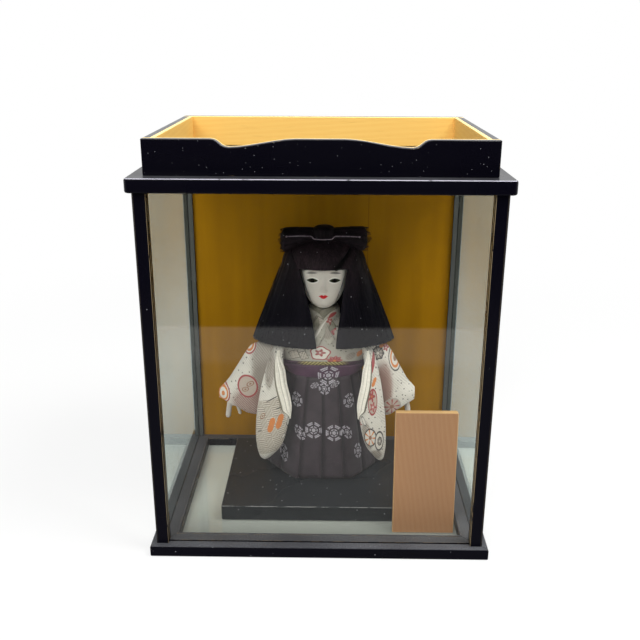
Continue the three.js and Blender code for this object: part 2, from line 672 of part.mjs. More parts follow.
// Straw body on two leg rods, with the neck socket
const coreTop = NECK_HEIGHT - CORE_BELOW_NECK;
const coreBottom = BODY_FOOT + 1;
function legBore(side) {
  return rod(LEG_RADIUS + FIT, side * LEG_SPREAD, 0, coreBottom - 1, coreBottom + LEG_IN_BODY + FIT);
}
const neckSocket = rod(PEG_RADIUS + FIT, 0, NECK_Y, coreTop - PEG_SOCKET - FIT, coreTop + 1);
const bodyCore = bodySolid(coreBottom, coreTop, -CLOTH_THICKNESS - CLOTH_GAP);
addPart(doll, 'body_core', cut(bodyCore, neckSocket, legBore(-1), legBore(1), wireChannel), strawCore);
for (const [name, side] of [['leg_rod_left', -1], ['leg_rod_right', 1]]) {
  const leg = rod(LEG_RADIUS, side * LEG_SPREAD, 0, FIT - LEG_SOCKET, coreBottom + LEG_IN_BODY);
  addPart(doll, name, leg, plainWood);
}

// Kimono body, its two collars, the sash and the hakama's waistband
const kimonoRoom = bodySolid(BODY_FOOT, NECK_HEIGHT, CLOTH_GAP);
const kimonoBody = bodyRing(BODY_FOOT, NECK_HEIGHT, -CLOTH_THICKNESS, 0);
addPart(doll, 'kimono_body', cut(kimonoBody, wireChannel), brocade);

function collar(near, far, below, above) {
  const vPoint = (u) => {
    const front = 0.5 - 0.5 * Math.sin(u * Math.PI * 2);
    return THREE.MathUtils.lerp(NECK_HEIGHT - 4, hairHem + 8, front ** 5);
  };
  const heightAt = (u, v) => Math.min(vPoint(u) + THREE.MathUtils.lerp(-below, above, v), NECK_HEIGHT);
  return sheet((u, v) => bodyPoint(u, heightAt(u, v), far), (u, v) => bodyPoint(u, heightAt(u, v), near),
    BODY_COLUMNS, 4, true);
}
const underCollarOut = COLLAR_GAP + 1.2;
addPart(doll, 'under_collar', cut(collar(COLLAR_GAP, underCollarOut, 1, 7), kimonoRoom), liningSilk);
addPart(doll, 'kimono_collar', collar(underCollarOut + COLLAR_GAP, underCollarOut + COLLAR_GAP + 1.4, 5, 4),
  brocade);

const sashOut = CLOTH_GAP + SASH_THICKNESS;
addPart(doll, 'obi_sash', bodyRing(WAIST_HEIGHT + 1, waistTop + SASH_SHOW, CLOTH_GAP, sashOut), sashCloth);
const bandIn = sashOut + CLOTH_GAP;
addPart(doll, 'hakama_waistband', bodyRing(WAIST_HEIGHT, waistTop, bandIn, bandIn + BAND_THICKNESS),
  bandCloth);

// Hakama: a front and a back panel, folded into pleats that deepen towards the hem
function hemOutline(turn) {
  const angle = turn * Math.PI * 2;
  const [c, s] = [Math.cos(angle), Math.sin(angle)];
  if (s > 0) {
    return new THREE.Vector2(HEM_SIDE_HALF * Math.sign(c) * Math.abs(c) ** 0.8,
      HEM_SIDE_Y + (HEM_BACK_Y - HEM_SIDE_Y) * s ** 0.8);
  }
  const corner = Math.abs(c);
  const flat = HEM_FRONT_HALF / HEM_SIDE_HALF;
  const x = HEM_SIDE_HALF * corner;
  const back = Math.max(0, (corner - flat) / (1 - flat));
  return new THREE.Vector2(Math.sign(c) * x, THREE.MathUtils.lerp(HEM_FRONT_Y, HEM_SIDE_Y, back ** 1.15));
}

function hakamaPoint(turn, share, out) {
  const angle = turn * Math.PI * 2;
  const hem = hemOutline(turn);
  const top = bodyPoint(turn, WAIST_HEIGHT, bandIn);
  const spread = 1 - share ** 1.2;
  const x = THREE.MathUtils.lerp(top.x, hem.x, spread);
  const y = THREE.MathUtils.lerp(top.y, hem.y, spread);
  const fold = (turn * 2 * PLEATS) % 1;
  const pleat = (fold < 0.75 ? fold / 0.75 : (1 - fold) / 0.25) * PLEAT_DEPTH * (0.35 + 0.65 * spread);
  const outward = new THREE.Vector2(Math.cos(angle), Math.sin(angle)).multiplyScalar(out - pleat);
  const z = THREE.MathUtils.lerp(HEM_GAP, WAIST_HEIGHT - FIT, share);
  return new THREE.Vector3(x + outward.x, y + outward.y, z);
}

function hakamaPanel(start, end) {
  const columns = 4 * PLEATS;
  const turnAt = (u) => THREE.MathUtils.lerp(start, end, u);
  return sheet((u, v) => hakamaPoint(turnAt(u), v, BAND_THICKNESS),
    (u, v) => hakamaPoint(turnAt(u), v, BAND_THICKNESS - CLOTH_THICKNESS), columns, 5);
}
const seam = PANEL_SEAM_GAP / (2 * Math.PI * HEM_SIDE_HALF);
addPart(doll, 'hakama_front', hakamaPanel(0.5 + seam, 1 - seam), hakamaCloth);
addPart(doll, 'hakama_back', hakamaPanel(seam, 0.5 - seam), hakamaCloth);

// Sleeves: a deep flat bag from the shoulder to the cuff, and the drop that hangs in front of the hakama.
// A row of the bag has the share of the reach, y and depth below the neck of both edges, and half thickness.
const sleeveRows = [
  [0, -2, 14.5, -4, 29, 8], [0.17, -3, 21.5, -8, 42, 10], [0.3, -4, 30.5, -19, 79, 10],
  [0.44, -5.5, 35.5, -25, 113, 9.5], [0.6, -8, 41, -26, 116.5, 9], [0.75, -9, 63.5, -22, 111.5, 8],
  [0.88, -10, 81.5, -17, 107, 7], [0.97, -11, 92.5, -13, 103.5, 5], [1, -11.5, 96, -12, 101, 2.5],
];
// A row of the drop has its depth below the neck, middle x and y, half width and half thickness
const dropRows = [
  [36, -46, -16, 5, 7], [49, -50, -30, 8, 8], [69, -52, -43, 12, 6.5], [97, -52, -47.5, 17.5, 6],
  [124, -55, -48, 17, 6.5], [144, -58, -47, 13.5, 6], [158, -62, -45, 6.5, 4], [162.5, -63, -44, 2, 1.6],
];

function sleeveBag(side, reach, lift, sag) {
  return loft((u, v) => {
    const [share, topY, topDepth, lowY, lowDepth, half] = alongRows(sleeveRows, v);
    const level = NECK_HEIGHT + lift * share;
    const sunk = sag * THREE.MathUtils.smoothstep(share, 0.33, 0.66);
    const top = new THREE.Vector2(topY, level - topDepth - sunk);
    const low = new THREE.Vector2(lowY, level - lowDepth);
    const long = top.clone().sub(low).multiplyScalar(0.5);
    const thick = new THREE.Vector2(long.y, -long.x).normalize().multiplyScalar(half);
    const angle = u * Math.PI * 2;
    const point = top.add(low).multiplyScalar(0.5);
    point.addScaledVector(long, Math.cos(angle)).addScaledVector(thick, Math.sin(angle));
    return new THREE.Vector3(side * (SLEEVE_START + reach * share), point.x, point.y);
  }, 16, 10);
}

function dropPoint(side, scale, angle, row, out) {
  const [depth, x, y, half, thick] = row;
  return new THREE.Vector3(
    -side * (x - (half * scale + out) * Math.cos(angle)), y + (thick + out) * Math.sin(angle), NECK_HEIGHT - depth);
}

function sleeveDrop(side, scale) {
  return loft((u, v) => dropPoint(side, scale, u * Math.PI * 2, alongRows(dropRows, v), 0), 14, 10);
}

function sleeveLining(side, scale) {
  const [start, end] = [Math.PI * 0.64, Math.PI * 1.42];
  const [top, foot] = [0.2, 0.58];
  const at = (u, v, out) => dropPoint(side, scale, THREE.MathUtils.lerp(start, end, u),
    alongRows(dropRows, THREE.MathUtils.lerp(top, foot, v)), out);
  const narrow = (u, v) => THREE.MathUtils.lerp(0.62, 1 - 0.42 * (1 - v), u);
  return sheet((u, v) => at(narrow(u, v), v, CLOTH_GAP + LINING_THICKNESS),
    (u, v) => at(narrow(u, v), v, CLOTH_GAP), 6, 6);
}

// Hands: a flat palm with closed fingers and a thumb, hanging out of the cuff
function capsuleBetween(from, to, radius, flat) {
  const length = from.distanceTo(to);
  const geometry = new THREE.CapsuleGeometry(radius, length, 2, 8);
  geometry.scale(1, 1, flat);
  const lean = new THREE.Quaternion().setFromUnitVectors(
    new THREE.Vector3(0, 1, 0), to.clone().sub(from).normalize());
  const middle = from.clone().add(to).multiplyScalar(0.5);
  return geometry.applyQuaternion(lean).translate(middle.x, middle.y, middle.z);
}

function handShape(side) {
  const wrist = armPoint(side, 1);
  const at = (x, y, z) => new THREE.Vector3(wrist.x + side * x, wrist.y + y, wrist.z + z);
  const palm = new THREE.SphereGeometry(1, 10, 7).scale(7.2, 3.6, 9.5);
  const centre = at(0, 0, -7);
  palm.translate(centre.x, centre.y, centre.z);
  const fingers = capsuleBetween(at(3.6, 0, -12), at(6, 0.5, -28), 3.1, 0.85);
  const thumb = capsuleBetween(at(-4, -0.5, -11), at(-7.5, -1, -24), 2.1, 0.9);
  return join(palm, fingers, thumb);
}

function cuffHollow(side) {
  const wrist = armPoint(side, 1);
  const hollow = new THREE.SphereGeometry(1, 12, 8).scale(13.5, 5, 17);
  return hollow.translate(wrist.x, wrist.y, wrist.z - 9);
}

for (const [name, side, reach, lift, sag, scale] of [
  ['left', -1, LEFT_REACH, 0, 0, LEFT_DROP_SCALE],
  ['right', 1, RIGHT_REACH, RIGHT_LIFT, RIGHT_SAG, RIGHT_DROP_SCALE],
]) {
  const whole = join(sleeveBag(side, reach, lift, sag), sleeveDrop(side, scale));
  addPart(doll, `${name}_sleeve`, cut(whole, kimonoRoom, wireChannel, cuffHollow(side)), brocade);
  addPart(doll, `${name}_sleeve_lining`, sleeveLining(side, scale), liningSilk);
  addPart(doll, `${name}_hand`, cut(handShape(side), wireChannel), shellWhite);
}

// Head: an egg-shaped face with a small nose, on its neck and turning peg.
// Each level has its share of the head's height, half width, front and back.
const head = new THREE.Group();
doll.add(head);
const headLevels = [
  [0, 0.21, 0.77, -0.6], [0.03, 0.45, 0.89, -0.36], [0.12, 0.7, 0.97, 0.16], [0.27, 0.88, 1, 0.56],
  [0.45, 0.97, 0.99, 0.88], [0.63, 1, 0.95, 1], [0.81, 0.92, 0.84, 0.94], [0.94, 0.64, 0.58, 0.64],
  [1, 0.21, 0.23, 0.2],
];

function headEgg(grow) {
  return loft((u, v) => {
    const [rise, wide, fore, aft] = alongRows(headLevels, v);
    const angle = u * Math.PI * 2;
    const middle = (HEAD_FRONT * fore + HEAD_BACK * aft) / 2;
    const deep = (HEAD_BACK * aft - HEAD_FRONT * fore) / 2;
    const lift = grow * (2 * v - 1);
    return new THREE.Vector3(
      (HEAD_HALF_WIDTH * wide + grow) * Math.cos(angle), middle + (deep + grow) * Math.sin(angle),
      THREE.MathUtils.lerp(headChin, headTop, rise) + lift);
  }, 20, 12);
}

const neckFoot = coreTop + FIT;
const nose = new THREE.SphereGeometry(1, 8, 6).scale(NOSE_HALF_WIDTH, NOSE_OUT, NOSE_HALF_LENGTH);
nose.translate(0, HEAD_FRONT, headChin + NOSE_ABOVE_CHIN);
const neck = rod(NECK_RADIUS, 0, NECK_Y, neckFoot, headChin + NECK_IN_HEAD, 16);
const pegTop = neckFoot + PEG_IN_HEAD;
const pegBore = rod(PEG_RADIUS + FIT, 0, NECK_Y, neckFoot - 1, pegTop + FIT);
addPart(head, 'head', cut(join(headEgg(0), neck, nose), pegBore), shellWhite);
addPart(head, 'neck_peg', rod(PEG_RADIUS, 0, NECK_Y, coreTop - PEG_SOCKET, pegTop), plainWood);

// Hair: a crown with a straight fringe, and three falls cut level at the hem
function hairPoint(turn, height, inward) {
  const share = (height - hairHem) / (fringeHeight - hairHem);
  const halfWidth = THREE.MathUtils.lerp(HAIR_HEM_HALF_WIDTH, HAIR_TOP_HALF_WIDTH, share) - inward;
  const halfDepth = THREE.MathUtils.lerp(HAIR_HEM_HALF_DEPTH, HAIR_TOP_HALF_DEPTH, share) - inward;
  const angle = turn * Math.PI * 2;
  return new THREE.Vector3(halfWidth * Math.cos(angle), halfDepth * Math.sin(angle), height);
}

function hairDome(inward) {
  return loft((u, v) => {
    const rise = Math.sin(v * Math.PI / 2);
    const draw = Math.cos(v * Math.PI / 2 * 0.97);
    const rim = hairPoint(u, fringeHeight, inward);
    return new THREE.Vector3(rim.x * draw ** 0.72, rim.y * draw ** 0.72,
      fringeHeight + (hairCrown - inward - fringeHeight) * rise);
  }, 24, 7);
}
const rim = HAIR_TOP_HALF_WIDTH + HAIR_WALL;
const underFringe = block(-rim, rim, -rim, rim, fringeHeight - HAIR_WALL, fringeHeight);
const hollowDome = join(hairDome(HAIR_WALL), underFringe);
addPart(head, 'hair_crown', cut(hairDome(0), hollowDome, headEgg(FIT)), hairBlack);

function hairFall(start, end, columns) {
  const bottom = hairHem;
  const top = fringeHeight - HAIR_SEAM;
  const heightAt = (v) => THREE.MathUtils.lerp(bottom, top, v);
  const turnAt = (u, v) => THREE.MathUtils.lerp(start(v), end(v), u);
  return sheet((u, v) => hairPoint(turnAt(u, v), heightAt(v), 0),
    (u, v) => hairPoint(turnAt(u, v), heightAt(v), HAIR_WALL), columns, 5);
}

function openingTurn(v) {
  const half = THREE.MathUtils.lerp(FRONT_OPENING_HEM, FRONT_OPENING_TOP, v);
  const width = THREE.MathUtils.lerp(HAIR_HEM_HALF_WIDTH, HAIR_TOP_HALF_WIDTH, v);
  return Math.asin(half / width) / (Math.PI * 2);
}
const backSplit = 0.1;
const strandGap = HAIR_SEAM / (Math.PI * (HAIR_TOP_HALF_WIDTH + HAIR_TOP_HALF_DEPTH));
addPart(head, 'hair_fall_left', hairFall(() => 0.5 - backSplit, (v) => 0.75 - openingTurn(v), 10), hairBlack);
addPart(head, 'hair_fall_right', hairFall((v) => 0.75 + openingTurn(v), () => 1 + backSplit, 10), hairBlack);
addPart(head, 'hair_fall_back',
  hairFall(() => backSplit + strandGap, () => 0.5 - backSplit - strandGap, 10), hairBlack);

// A bound knob on the crown, with outline shares of its radius and height
const crownRoom = hairDome(-FIT);

function knobShape(grow) {
  const outline = [[0, 0], [0.94, 0], [1, 0.4], [0.89, 0.73], [0.52, 0.95], [0, 1]];
  const foot = hairCrown - KNOB_SUNK;
  const profile = outline.map(([wide, rise]) => new THREE.Vector2(
    wide * (KNOB_RADIUS + grow), foot + rise * (KNOB_SUNK + KNOB_RISE + grow)));
  return new THREE.LatheGeometry(profile, 14).rotateX(Math.PI / 2).translate(0, KNOB_Y, 0);
}
addPart(head, 'hair_knob', cut(knobShape(0), crownRoom), hairBlack);

// Loops at both sides of the knob: shares of the reach, sweep, drop, half depth and half height
const loopRows = [
  [0.19, 0, 0, 0.6, 0.52], [0.38, 0.25, 0.17, 0.9, 0.78], [0.64, 0.5, 0.39, 1, 0.96],
  [0.85, 0.75, 0.67, 0.95, 1], [1, 1, 1, 0.8, 0.87],
];
const knobRoom = knobShape(FIT);
for (const [name, side] of [['hair_loop_left', -1], ['hair_loop_right', 1]]) {
  const loop = loft((u, v) => {
    const [out, sweep, drop, deep, tall] = alongRows(loopRows, v);
    const angle = u * Math.PI * 2;
    return new THREE.Vector3(
      side * out * LOOP_REACH,
      KNOB_Y - sweep * LOOP_SWEEP + deep * LOOP_HALF_DEPTH * Math.cos(angle),
      hairCrown + LOOP_RISE - drop * LOOP_DROP + tall * LOOP_HALF_HEIGHT * Math.sin(angle));
  }, 12, 5);
  addPart(head, name, cut(loop, crownRoom, knobRoom), hairBlack);
}

// Slim bar pin in front of the loops, bent down before the knob
const pinPath = [-1, -0.6, -0.3, -0.2, 0, 0.2, 0.3, 0.6, 1].map((share) => new THREE.Vector3(
  PIN_OFF_CENTRE + share * PIN_HALF_LENGTH, PIN_Y,
  hairCrown + PIN_RISE - (Math.abs(share) < 0.25 ? PIN_DIP : 0)));
addPart(head, 'hair_pin', tube(pinPath, PIN_RADIUS, 20), pinSilver);

export default model;
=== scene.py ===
import math

import bmesh
import bpy
from mathutils import Matrix, Vector, noise


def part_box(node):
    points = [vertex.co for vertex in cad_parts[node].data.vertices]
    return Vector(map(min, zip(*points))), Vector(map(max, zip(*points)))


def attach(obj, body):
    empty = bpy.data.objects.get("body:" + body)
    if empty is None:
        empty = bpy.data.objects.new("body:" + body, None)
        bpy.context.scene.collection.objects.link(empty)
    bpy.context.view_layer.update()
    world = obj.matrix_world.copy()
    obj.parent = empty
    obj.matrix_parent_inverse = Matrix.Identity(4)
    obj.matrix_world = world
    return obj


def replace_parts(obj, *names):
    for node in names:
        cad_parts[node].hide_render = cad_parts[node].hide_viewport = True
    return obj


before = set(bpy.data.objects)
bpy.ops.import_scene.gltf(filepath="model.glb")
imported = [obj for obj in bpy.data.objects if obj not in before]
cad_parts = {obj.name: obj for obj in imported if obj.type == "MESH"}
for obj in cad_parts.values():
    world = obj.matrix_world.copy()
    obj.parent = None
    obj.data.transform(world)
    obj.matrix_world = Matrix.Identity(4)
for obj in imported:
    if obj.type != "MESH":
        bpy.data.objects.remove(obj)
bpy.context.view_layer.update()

# Camera: a pinhole eye in front of the case and above it, looking down at about 19 degrees.
# Its place was found from the corners of the case.
MM = 0.001
PICTURE_PIXELS = 640
FOCAL_PIXELS = 803.37
EYE = Vector((9.14, -792.61, 480.80)) * MM
LOOK_DOWN = math.radians(19.235)
LOOK_ASIDE = math.radians(-0.765)
ROLL = math.radians(-0.222)

ahead = Vector((
    math.sin(LOOK_ASIDE) * math.cos(LOOK_DOWN),
    math.cos(LOOK_ASIDE) * math.cos(LOOK_DOWN),
    -math.sin(LOOK_DOWN),
))
level_right = Vector((math.cos(LOOK_ASIDE), -math.sin(LOOK_ASIDE), 0))
level_down = ahead.cross(level_right)
right = math.cos(ROLL) * level_right + math.sin(ROLL) * level_down
down = math.cos(ROLL) * level_down - math.sin(ROLL) * level_right

camera = bpy.data.objects.new("camera", bpy.data.cameras.new("camera"))
camera.data.sensor_width = 36
camera.data.lens = camera.data.sensor_width * FOCAL_PIXELS / PICTURE_PIXELS
camera.data.clip_start = 0.01
turn = Matrix((right, -down, -ahead)).transposed().to_4x4()
camera.matrix_world = Matrix.Translation(EYE) @ turn
scene = bpy.context.scene
scene.collection.objects.link(camera)
scene.camera = camera
scene.view_settings.view_transform = "Standard"

# Floor and light: a white sweep under a broad soft lamp and a small high one, with pale light all round.
# In mirrors the sweep is grey before the case and dark past its near edge.
FLOOR_SIZE = 14
FLOOR_DROP = 0.2 * MM
SWEEP_EDGE = -0.774
SWEEP_BY_EDGE = 0.62
SWEEP_FRONT = 0.3
SWEEP_DARK = 0.015
SWEEP_GLOW = 0.75
SWEEP_SHADED = 0.1
SWEEP_FAR = 1.1
SWEEP_WHITE = (0.86, 0.87, 0.86, 1)
WHITE = (1, 1, 1, 1)
BLACK = (0, 0, 0, 1)
ROOM_LIGHT = 0.5
LAMP_AIM = Vector((0, 0, 0.2))


def put(tree, kind, sockets=None, **settings):
    """Adds a shader node; a socket given for an input is linked, and a value is set."""
    made = tree.nodes.new("ShaderNode" + kind)
    for key, value in settings.items():
        setattr(made, key, value)
    for key, value in (sockets or {}).items():
        if isinstance(value, bpy.types.NodeSocket):
            tree.links.new(value, made.inputs[key])
        else:
            made.inputs[key].default_value = value
    return made


def calc(tree, operation, *values):
    """One Math node's result."""
    return put(tree, "Math", dict(enumerate(values)), operation=operation).outputs[0]


def ramped(tree, value, low, high, start=0.0, end=1.0):
    """Maps low..high to start..end with soft ends, and holds beyond them."""
    sockets = {"Value": value, "From Min": low, "From Max": high, "To Min": start, "To Max": end}
    return put(tree, "MapRange", sockets, interpolation_type="SMOOTHSTEP").outputs[0]


def mixed(tree, share, first, second):
    """Mixes two colours; share 0 is the first."""
    return put(tree, "Mix", {0: share, 6: first, 7: second}, data_type="RGBA").outputs[2]


def object_place(tree):
    return put(tree, "TexCoord").outputs["Object"]


def axes_of(tree, vector):
    """A vector's X, Y and Z."""
    return put(tree, "SeparateXYZ", {0: vector}).outputs


def mottle(tree, place, scale, detail=2.0, kind="Fac"):
    """Soft noise from 0 to 1."""
    return put(tree, "TexNoise", {"Vector": place, "Scale": scale, "Detail": detail}).outputs[kind]


def background_seen(tree, path):
    """1 for rays that look at the background straight, in a mirror or through glass."""
    seen = calc(tree, "MAXIMUM", path["Is Camera Ray"], path["Is Glossy Ray"])
    return calc(tree, "MAXIMUM", seen, path["Is Transmission Ray"])


sweep = bpy.data.materials.new("white_sweep")
sweep.use_nodes = True
tree = sweep.node_tree
tree.nodes.remove(tree.nodes["Principled BSDF"])
spot = object_place(tree)
away = axes_of(tree, spot)["Y"]
path = put(tree, "LightPath").outputs
front = ramped(tree, away, -0.64, -0.58, SWEEP_BY_EDGE, SWEEP_FRONT)
front = ramped(tree, away, SWEEP_EDGE - 0.01, SWEEP_EDGE + 0.01, SWEEP_DARK, front)
tone = calc(tree, "MAXIMUM", front, ramped(tree, away, -0.15, 0))
greyed = calc(tree, "MULTIPLY", path["Is Glossy Ray"], calc(tree, "SUBTRACT", 1, tone))
matt = put(tree, "BsdfDiffuse", {"Color": mixed(tree, greyed, SWEEP_WHITE, BLACK)})
glow = put(tree, "Emission", {"Color": mixed(tree, greyed, WHITE, BLACK)})
far = put(tree, "VectorMath", {0: spot}, operation="LENGTH").outputs["Value"]
open_share = ramped(tree, far, SWEEP_FAR / 3, SWEEP_FAR, SWEEP_GLOW, 1.0)
glazed_share = ramped(tree, far, 0.1, 0.6, SWEEP_SHADED, 1.0)
share = ramped(tree, path["Is Transmission Ray"], 0, 1, open_share, glazed_share)
share = calc(tree, "MULTIPLY", background_seen(tree, path), share)
shown = put(tree, "MixShader", {0: share, 1: matt.outputs[0], 2: glow.outputs[0]})
tree.links.new(shown.outputs[0], tree.nodes["Material Output"].inputs["Surface"])

form = bmesh.new()
bmesh.ops.create_grid(form, x_segments=1, y_segments=1, size=FLOOR_SIZE / 2)
bmesh.ops.translate(form, verts=form.verts, vec=(0, 0, -FLOOR_DROP))
floor = bpy.data.objects.new("floor", bpy.data.meshes.new("floor"))
form.to_mesh(floor.data)
form.free()
floor.data.materials.append(sweep)
scene.collection.objects.link(floor)

room = bpy.data.worlds.new("pale_room")
room.use_nodes = True
scene.world = room
tree = room.node_tree
toward = axes_of(tree, put(tree, "TexCoord").outputs["Generated"])["Y"]
path = put(tree, "LightPath").outputs
dimmed = ramped(tree, toward, -0.75, -0.15, 1 - SWEEP_DARK, 0.0)
greyed = calc(tree, "MULTIPLY", path["Is Glossy Ray"], dimmed)
strength = ramped(tree, background_seen(tree, path), 0, 1, ROOM_LIGHT, 1.0)
strength = calc(tree, "MULTIPLY", strength, calc(tree, "SUBTRACT", 1, greyed))
tree.nodes["Background"].inputs["Color"].default_value = WHITE
tree.links.new(strength, tree.nodes["Background"].inputs["Strength"])

for name, spot, size, power in [
    ("broad_lamp", Vector((-0.7, -1.5, 1.7)), 1.4, 34),
    ("high_lamp", Vector((0.75, -0.35, 1.6)), 0.7, 21),
]:
    lamp = bpy.data.objects.new(name, bpy.data.lights.new(name, "AREA"))
    lamp.data.size = size
    lamp.data.energy = power
    lamp.location = spot
    lamp.rotation_mode = "QUATERNION"
    lamp.rotation_quaternion = (LAMP_AIM - spot).to_track_quat("-Z", "Y")
    scene.collection.objects.link(lamp)

# Base frame and corner posts: hardwood strips, mitred and dowelled, sprayed with black lacquer.
# Handling has rubbed the arrises down to brown primer, most along the pane grooves.
LACQUER_BLACK = (0.0016, 0.0013, 0.0042, 1)
LACQUER_WORN = (0.30, 0.23, 0.13, 1)
RAIL_WORN = (0.26, 0.20, 0.13, 1)
LACQUER_HAZE = (0.082, 0.087, 0.083, 1)
DUST_COLOUR = (0.40, 0.41, 0.44, 1)
ARRIS = 0.45
CORNERS = ("front_left", "front_right", "back_left", "back_right")


def effect(name, inputs, outputs):
    """A shader node group: its tree, what comes in and what goes out."""
    group = bpy.data.node_groups.new(name, "ShaderNodeTree")
    for label, kind in inputs.items():
        group.interface.new_socket(label, in_out="INPUT", socket_type="NodeSocket" + kind)
    for label, kind in outputs.items():
        group.interface.new_socket(label, in_out="OUTPUT", socket_type="NodeSocket" + kind)
    came = group.nodes.new("NodeGroupInput").outputs
    goes = group.nodes.new("NodeGroupOutput").inputs
    return group, came, goes


def fill(group, goes, **results):
    for label, socket in results.items():
        group.links.new(socket, goes[label])


def speck_effect(name, spread):
    """Loose specks: some cells of a pattern scattered in 2D or 3D hold one round grain."""
    group, came, goes = effect(
        name, {"Place": "Vector", "Cells": "Float", "Amount": "Float"}, {"Mask": "Float"})
    cells = put(group, "TexVoronoi", {"Vector": came["Place"], "Scale": came["Cells"]},
                voronoi_dimensions=spread).outputs
    draw = put(group, "SeparateColor", {0: cells["Color"]}).outputs
    radius = calc(group, "MULTIPLY_ADD", draw["Green"], 0.1, 0.08)
    grain = ramped(group, cells["Distance"], 0.06, radius, 1, 0)
    chosen = calc(group, "LESS_THAN", draw["Red"], came["Amount"])
    fill(group, goes, Mask=calc(group, "MULTIPLY", grain, chosen))
    return group


def weighed(tree, share, first, second):
    """This share of the first value, and the rest of the second."""
    return calc(tree, "ADD", calc(tree, "MULTIPLY", first, share), calc(tree, "MULTIPLY", second, 1 - share))


def wear_effect():
    """Rubbed wear on the eased edges, and on the lid a painted highlight, broken up by noise. Worn is the
    piece's own face value.
    """
    group, came, goes = effect(
        "rubbed_arris", {"Place": "Vector", "Worn": "Float", "Amount": "Float"}, {"Mask": "Float"})
    coarse = mottle(group, came["Place"], 70, 4)
    fine = mottle(group, came["Place"], 600, 2)
    patchy = weighed(group, 0.7, coarse, fine)
    limit = calc(group, "SUBTRACT", 0.78, calc(group, "MULTIPLY", came["Amount"], 0.4))
    shown = ramped(group, patchy, limit, calc(group, "ADD", limit, 0.06))
    fill(group, goes, Mask=calc(group, "MULTIPLY", shown, came["Worn"]))
    return group


dust_specks = speck_effect("dust_specks", "3D")
rubbed_arris = wear_effect()


def finish(name):
    """A new material with its node tree and its Principled shader."""
    material = bpy.data.materials.new(name)
    material.use_nodes = True
    return material, material.node_tree, material.node_tree.nodes["Principled BSDF"]


def coated(tree, shader, colour, rough):
    """Gives a shader its colour and its roughness."""
    tree.links.new(colour, shader.inputs["Base Color"])
    tree.links.new(rough, shader.inputs["Roughness"])


def placed(tree, group, **sockets):
    """What comes out of an effect that is placed in a material with these values."""
    return put(tree, "Group", sockets, node_tree=group).outputs


def face_value(tree, name):
    return put(tree, "Attribute", attribute_name=name).outputs["Fac"]


def bumped(tree, shader, height, strength, distance):
    sockets = {"Height": height, "Strength": strength, "Distance": distance}
    tree.links.new(put(tree, "Bump", sockets).outputs[0], shader.inputs["Normal"])


def facing(tree):
    """The parts of the way a face looks."""
    return axes_of(tree, put(tree, "NewGeometry").outputs["Normal"])


def lacquer_coat(tree, place, black, dustiness, wear, settling=0.1, worn_colour=LACQUER_WORN, hazed=False,
                 grains=300.0):
    """Colour and roughness of dusty lacquer, rubbed on its arrises; on the lid the arris colour is a painted
    highlight.

    Settling is the dust on its upper faces; with hazed its front faces are painted grey, a painted sheen.
    Grains are the cells to the metre that may hold one grain of dust.
    """
    worn = placed(tree, rubbed_arris, Place=place, Worn=face_value(tree, "worn"), Amount=wear)[0]
    specks = placed(tree, dust_specks, Place=place, Cells=grains, Amount=dustiness)[0]
    film = mottle(tree, place, 11, 2)
    powder = calc(tree, "MULTIPLY_ADD", mottle(tree, place, 750, 3), 0.5, calc(tree, "MULTIPLY", film, 0.5))
    lying = calc(tree, "MULTIPLY", ramped(tree, powder, 0.4, 0.62, 0.6, 1.25), settling)
    settled = calc(tree, "MULTIPLY", ramped(tree, facing(tree)["Z"], 0.5, 1.0), lying)
    dust = calc(tree, "MAXIMUM", calc(tree, "MULTIPLY", specks, 0.7), settled)
    # Painted sheen: faces turned to the front are mixed towards grey.
    if hazed:
        black = mixed(tree, ramped(tree, facing(tree)["Y"], -0.8, -0.4, 1, 0), black, LACQUER_HAZE)
    colour = mixed(tree, dust, black, DUST_COLOUR)
    colour = mixed(tree, calc(tree, "MULTIPLY", worn, 0.85), colour, worn_colour)
    rough = calc(tree, "ADD", ramped(tree, film, 0.2, 0.8, 0.24, 0.32), calc(tree, "MULTIPLY", worn, 0.3))
    return colour, calc(tree, "ADD", rough, calc(tree, "MULTIPLY", dust, 0.4))


def lacquer_finish(name, gloss=0.12, black=LACQUER_BLACK, **state):
    material, tree, shader = finish(name)
    place = object_place(tree)
    colour, rough = lacquer_coat(tree, place, black, **state)
    coated(tree, shader, colour, rough)
    shader.inputs["Specular IOR Level"].default_value = gloss
    bumped(tree, shader, mottle(tree, place, 160, 1), 0.04, 0.3 * MM)
    return material


def piece_from(form, name, material):
    """Turns a bmesh into an object of the scene."""
    mesh = bpy.data.meshes.new(name)
    form.to_mesh(mesh)
    form.free()
    mesh.materials.append(material)
    piece = bpy.data.objects.new(name, mesh)
    scene.collection.objects.link(piece)
    return piece


def cad_form(node):
    """A merged bmesh copy of a CAD node, with its flat faces whole."""
    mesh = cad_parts[node].data.copy()
    mesh.attributes.remove(mesh.attributes["custom_normal"])
    form = bmesh.new()
    form.from_mesh(mesh)
    bpy.data.meshes.remove(mesh)
    for face in form.faces:
        face.smooth = False
    bmesh.ops.remove_doubles(form, verts=form.verts, dist=0.002 * MM)
    bmesh.ops.dissolve_limit(form, angle_limit=math.radians(0.5), verts=form.verts, edges=form.edges)
    return form


def ease_arrises(form, ease, wear_at=None):
    """Rounds the sharp edges and marks them for wear, and for a painted highlight where a finish paints one.
    """
    worn = form.faces.layers.float.new("worn")
    sharp = [e for e in form.edges if len(e.link_faces) == 2 and e.calc_face_angle() > math.radians(40)]
    eased = bmesh.ops.bevel(form, geom=sharp, offset=ease * MM, affect="EDGES", segments=2, profile=0.5,
                            material=-1, clamp_overlap=True)
    for face in eased["faces"]:
        face.smooth = True
        face[worn] = wear_at(face.calc_center_median()) if wear_at else 0.7


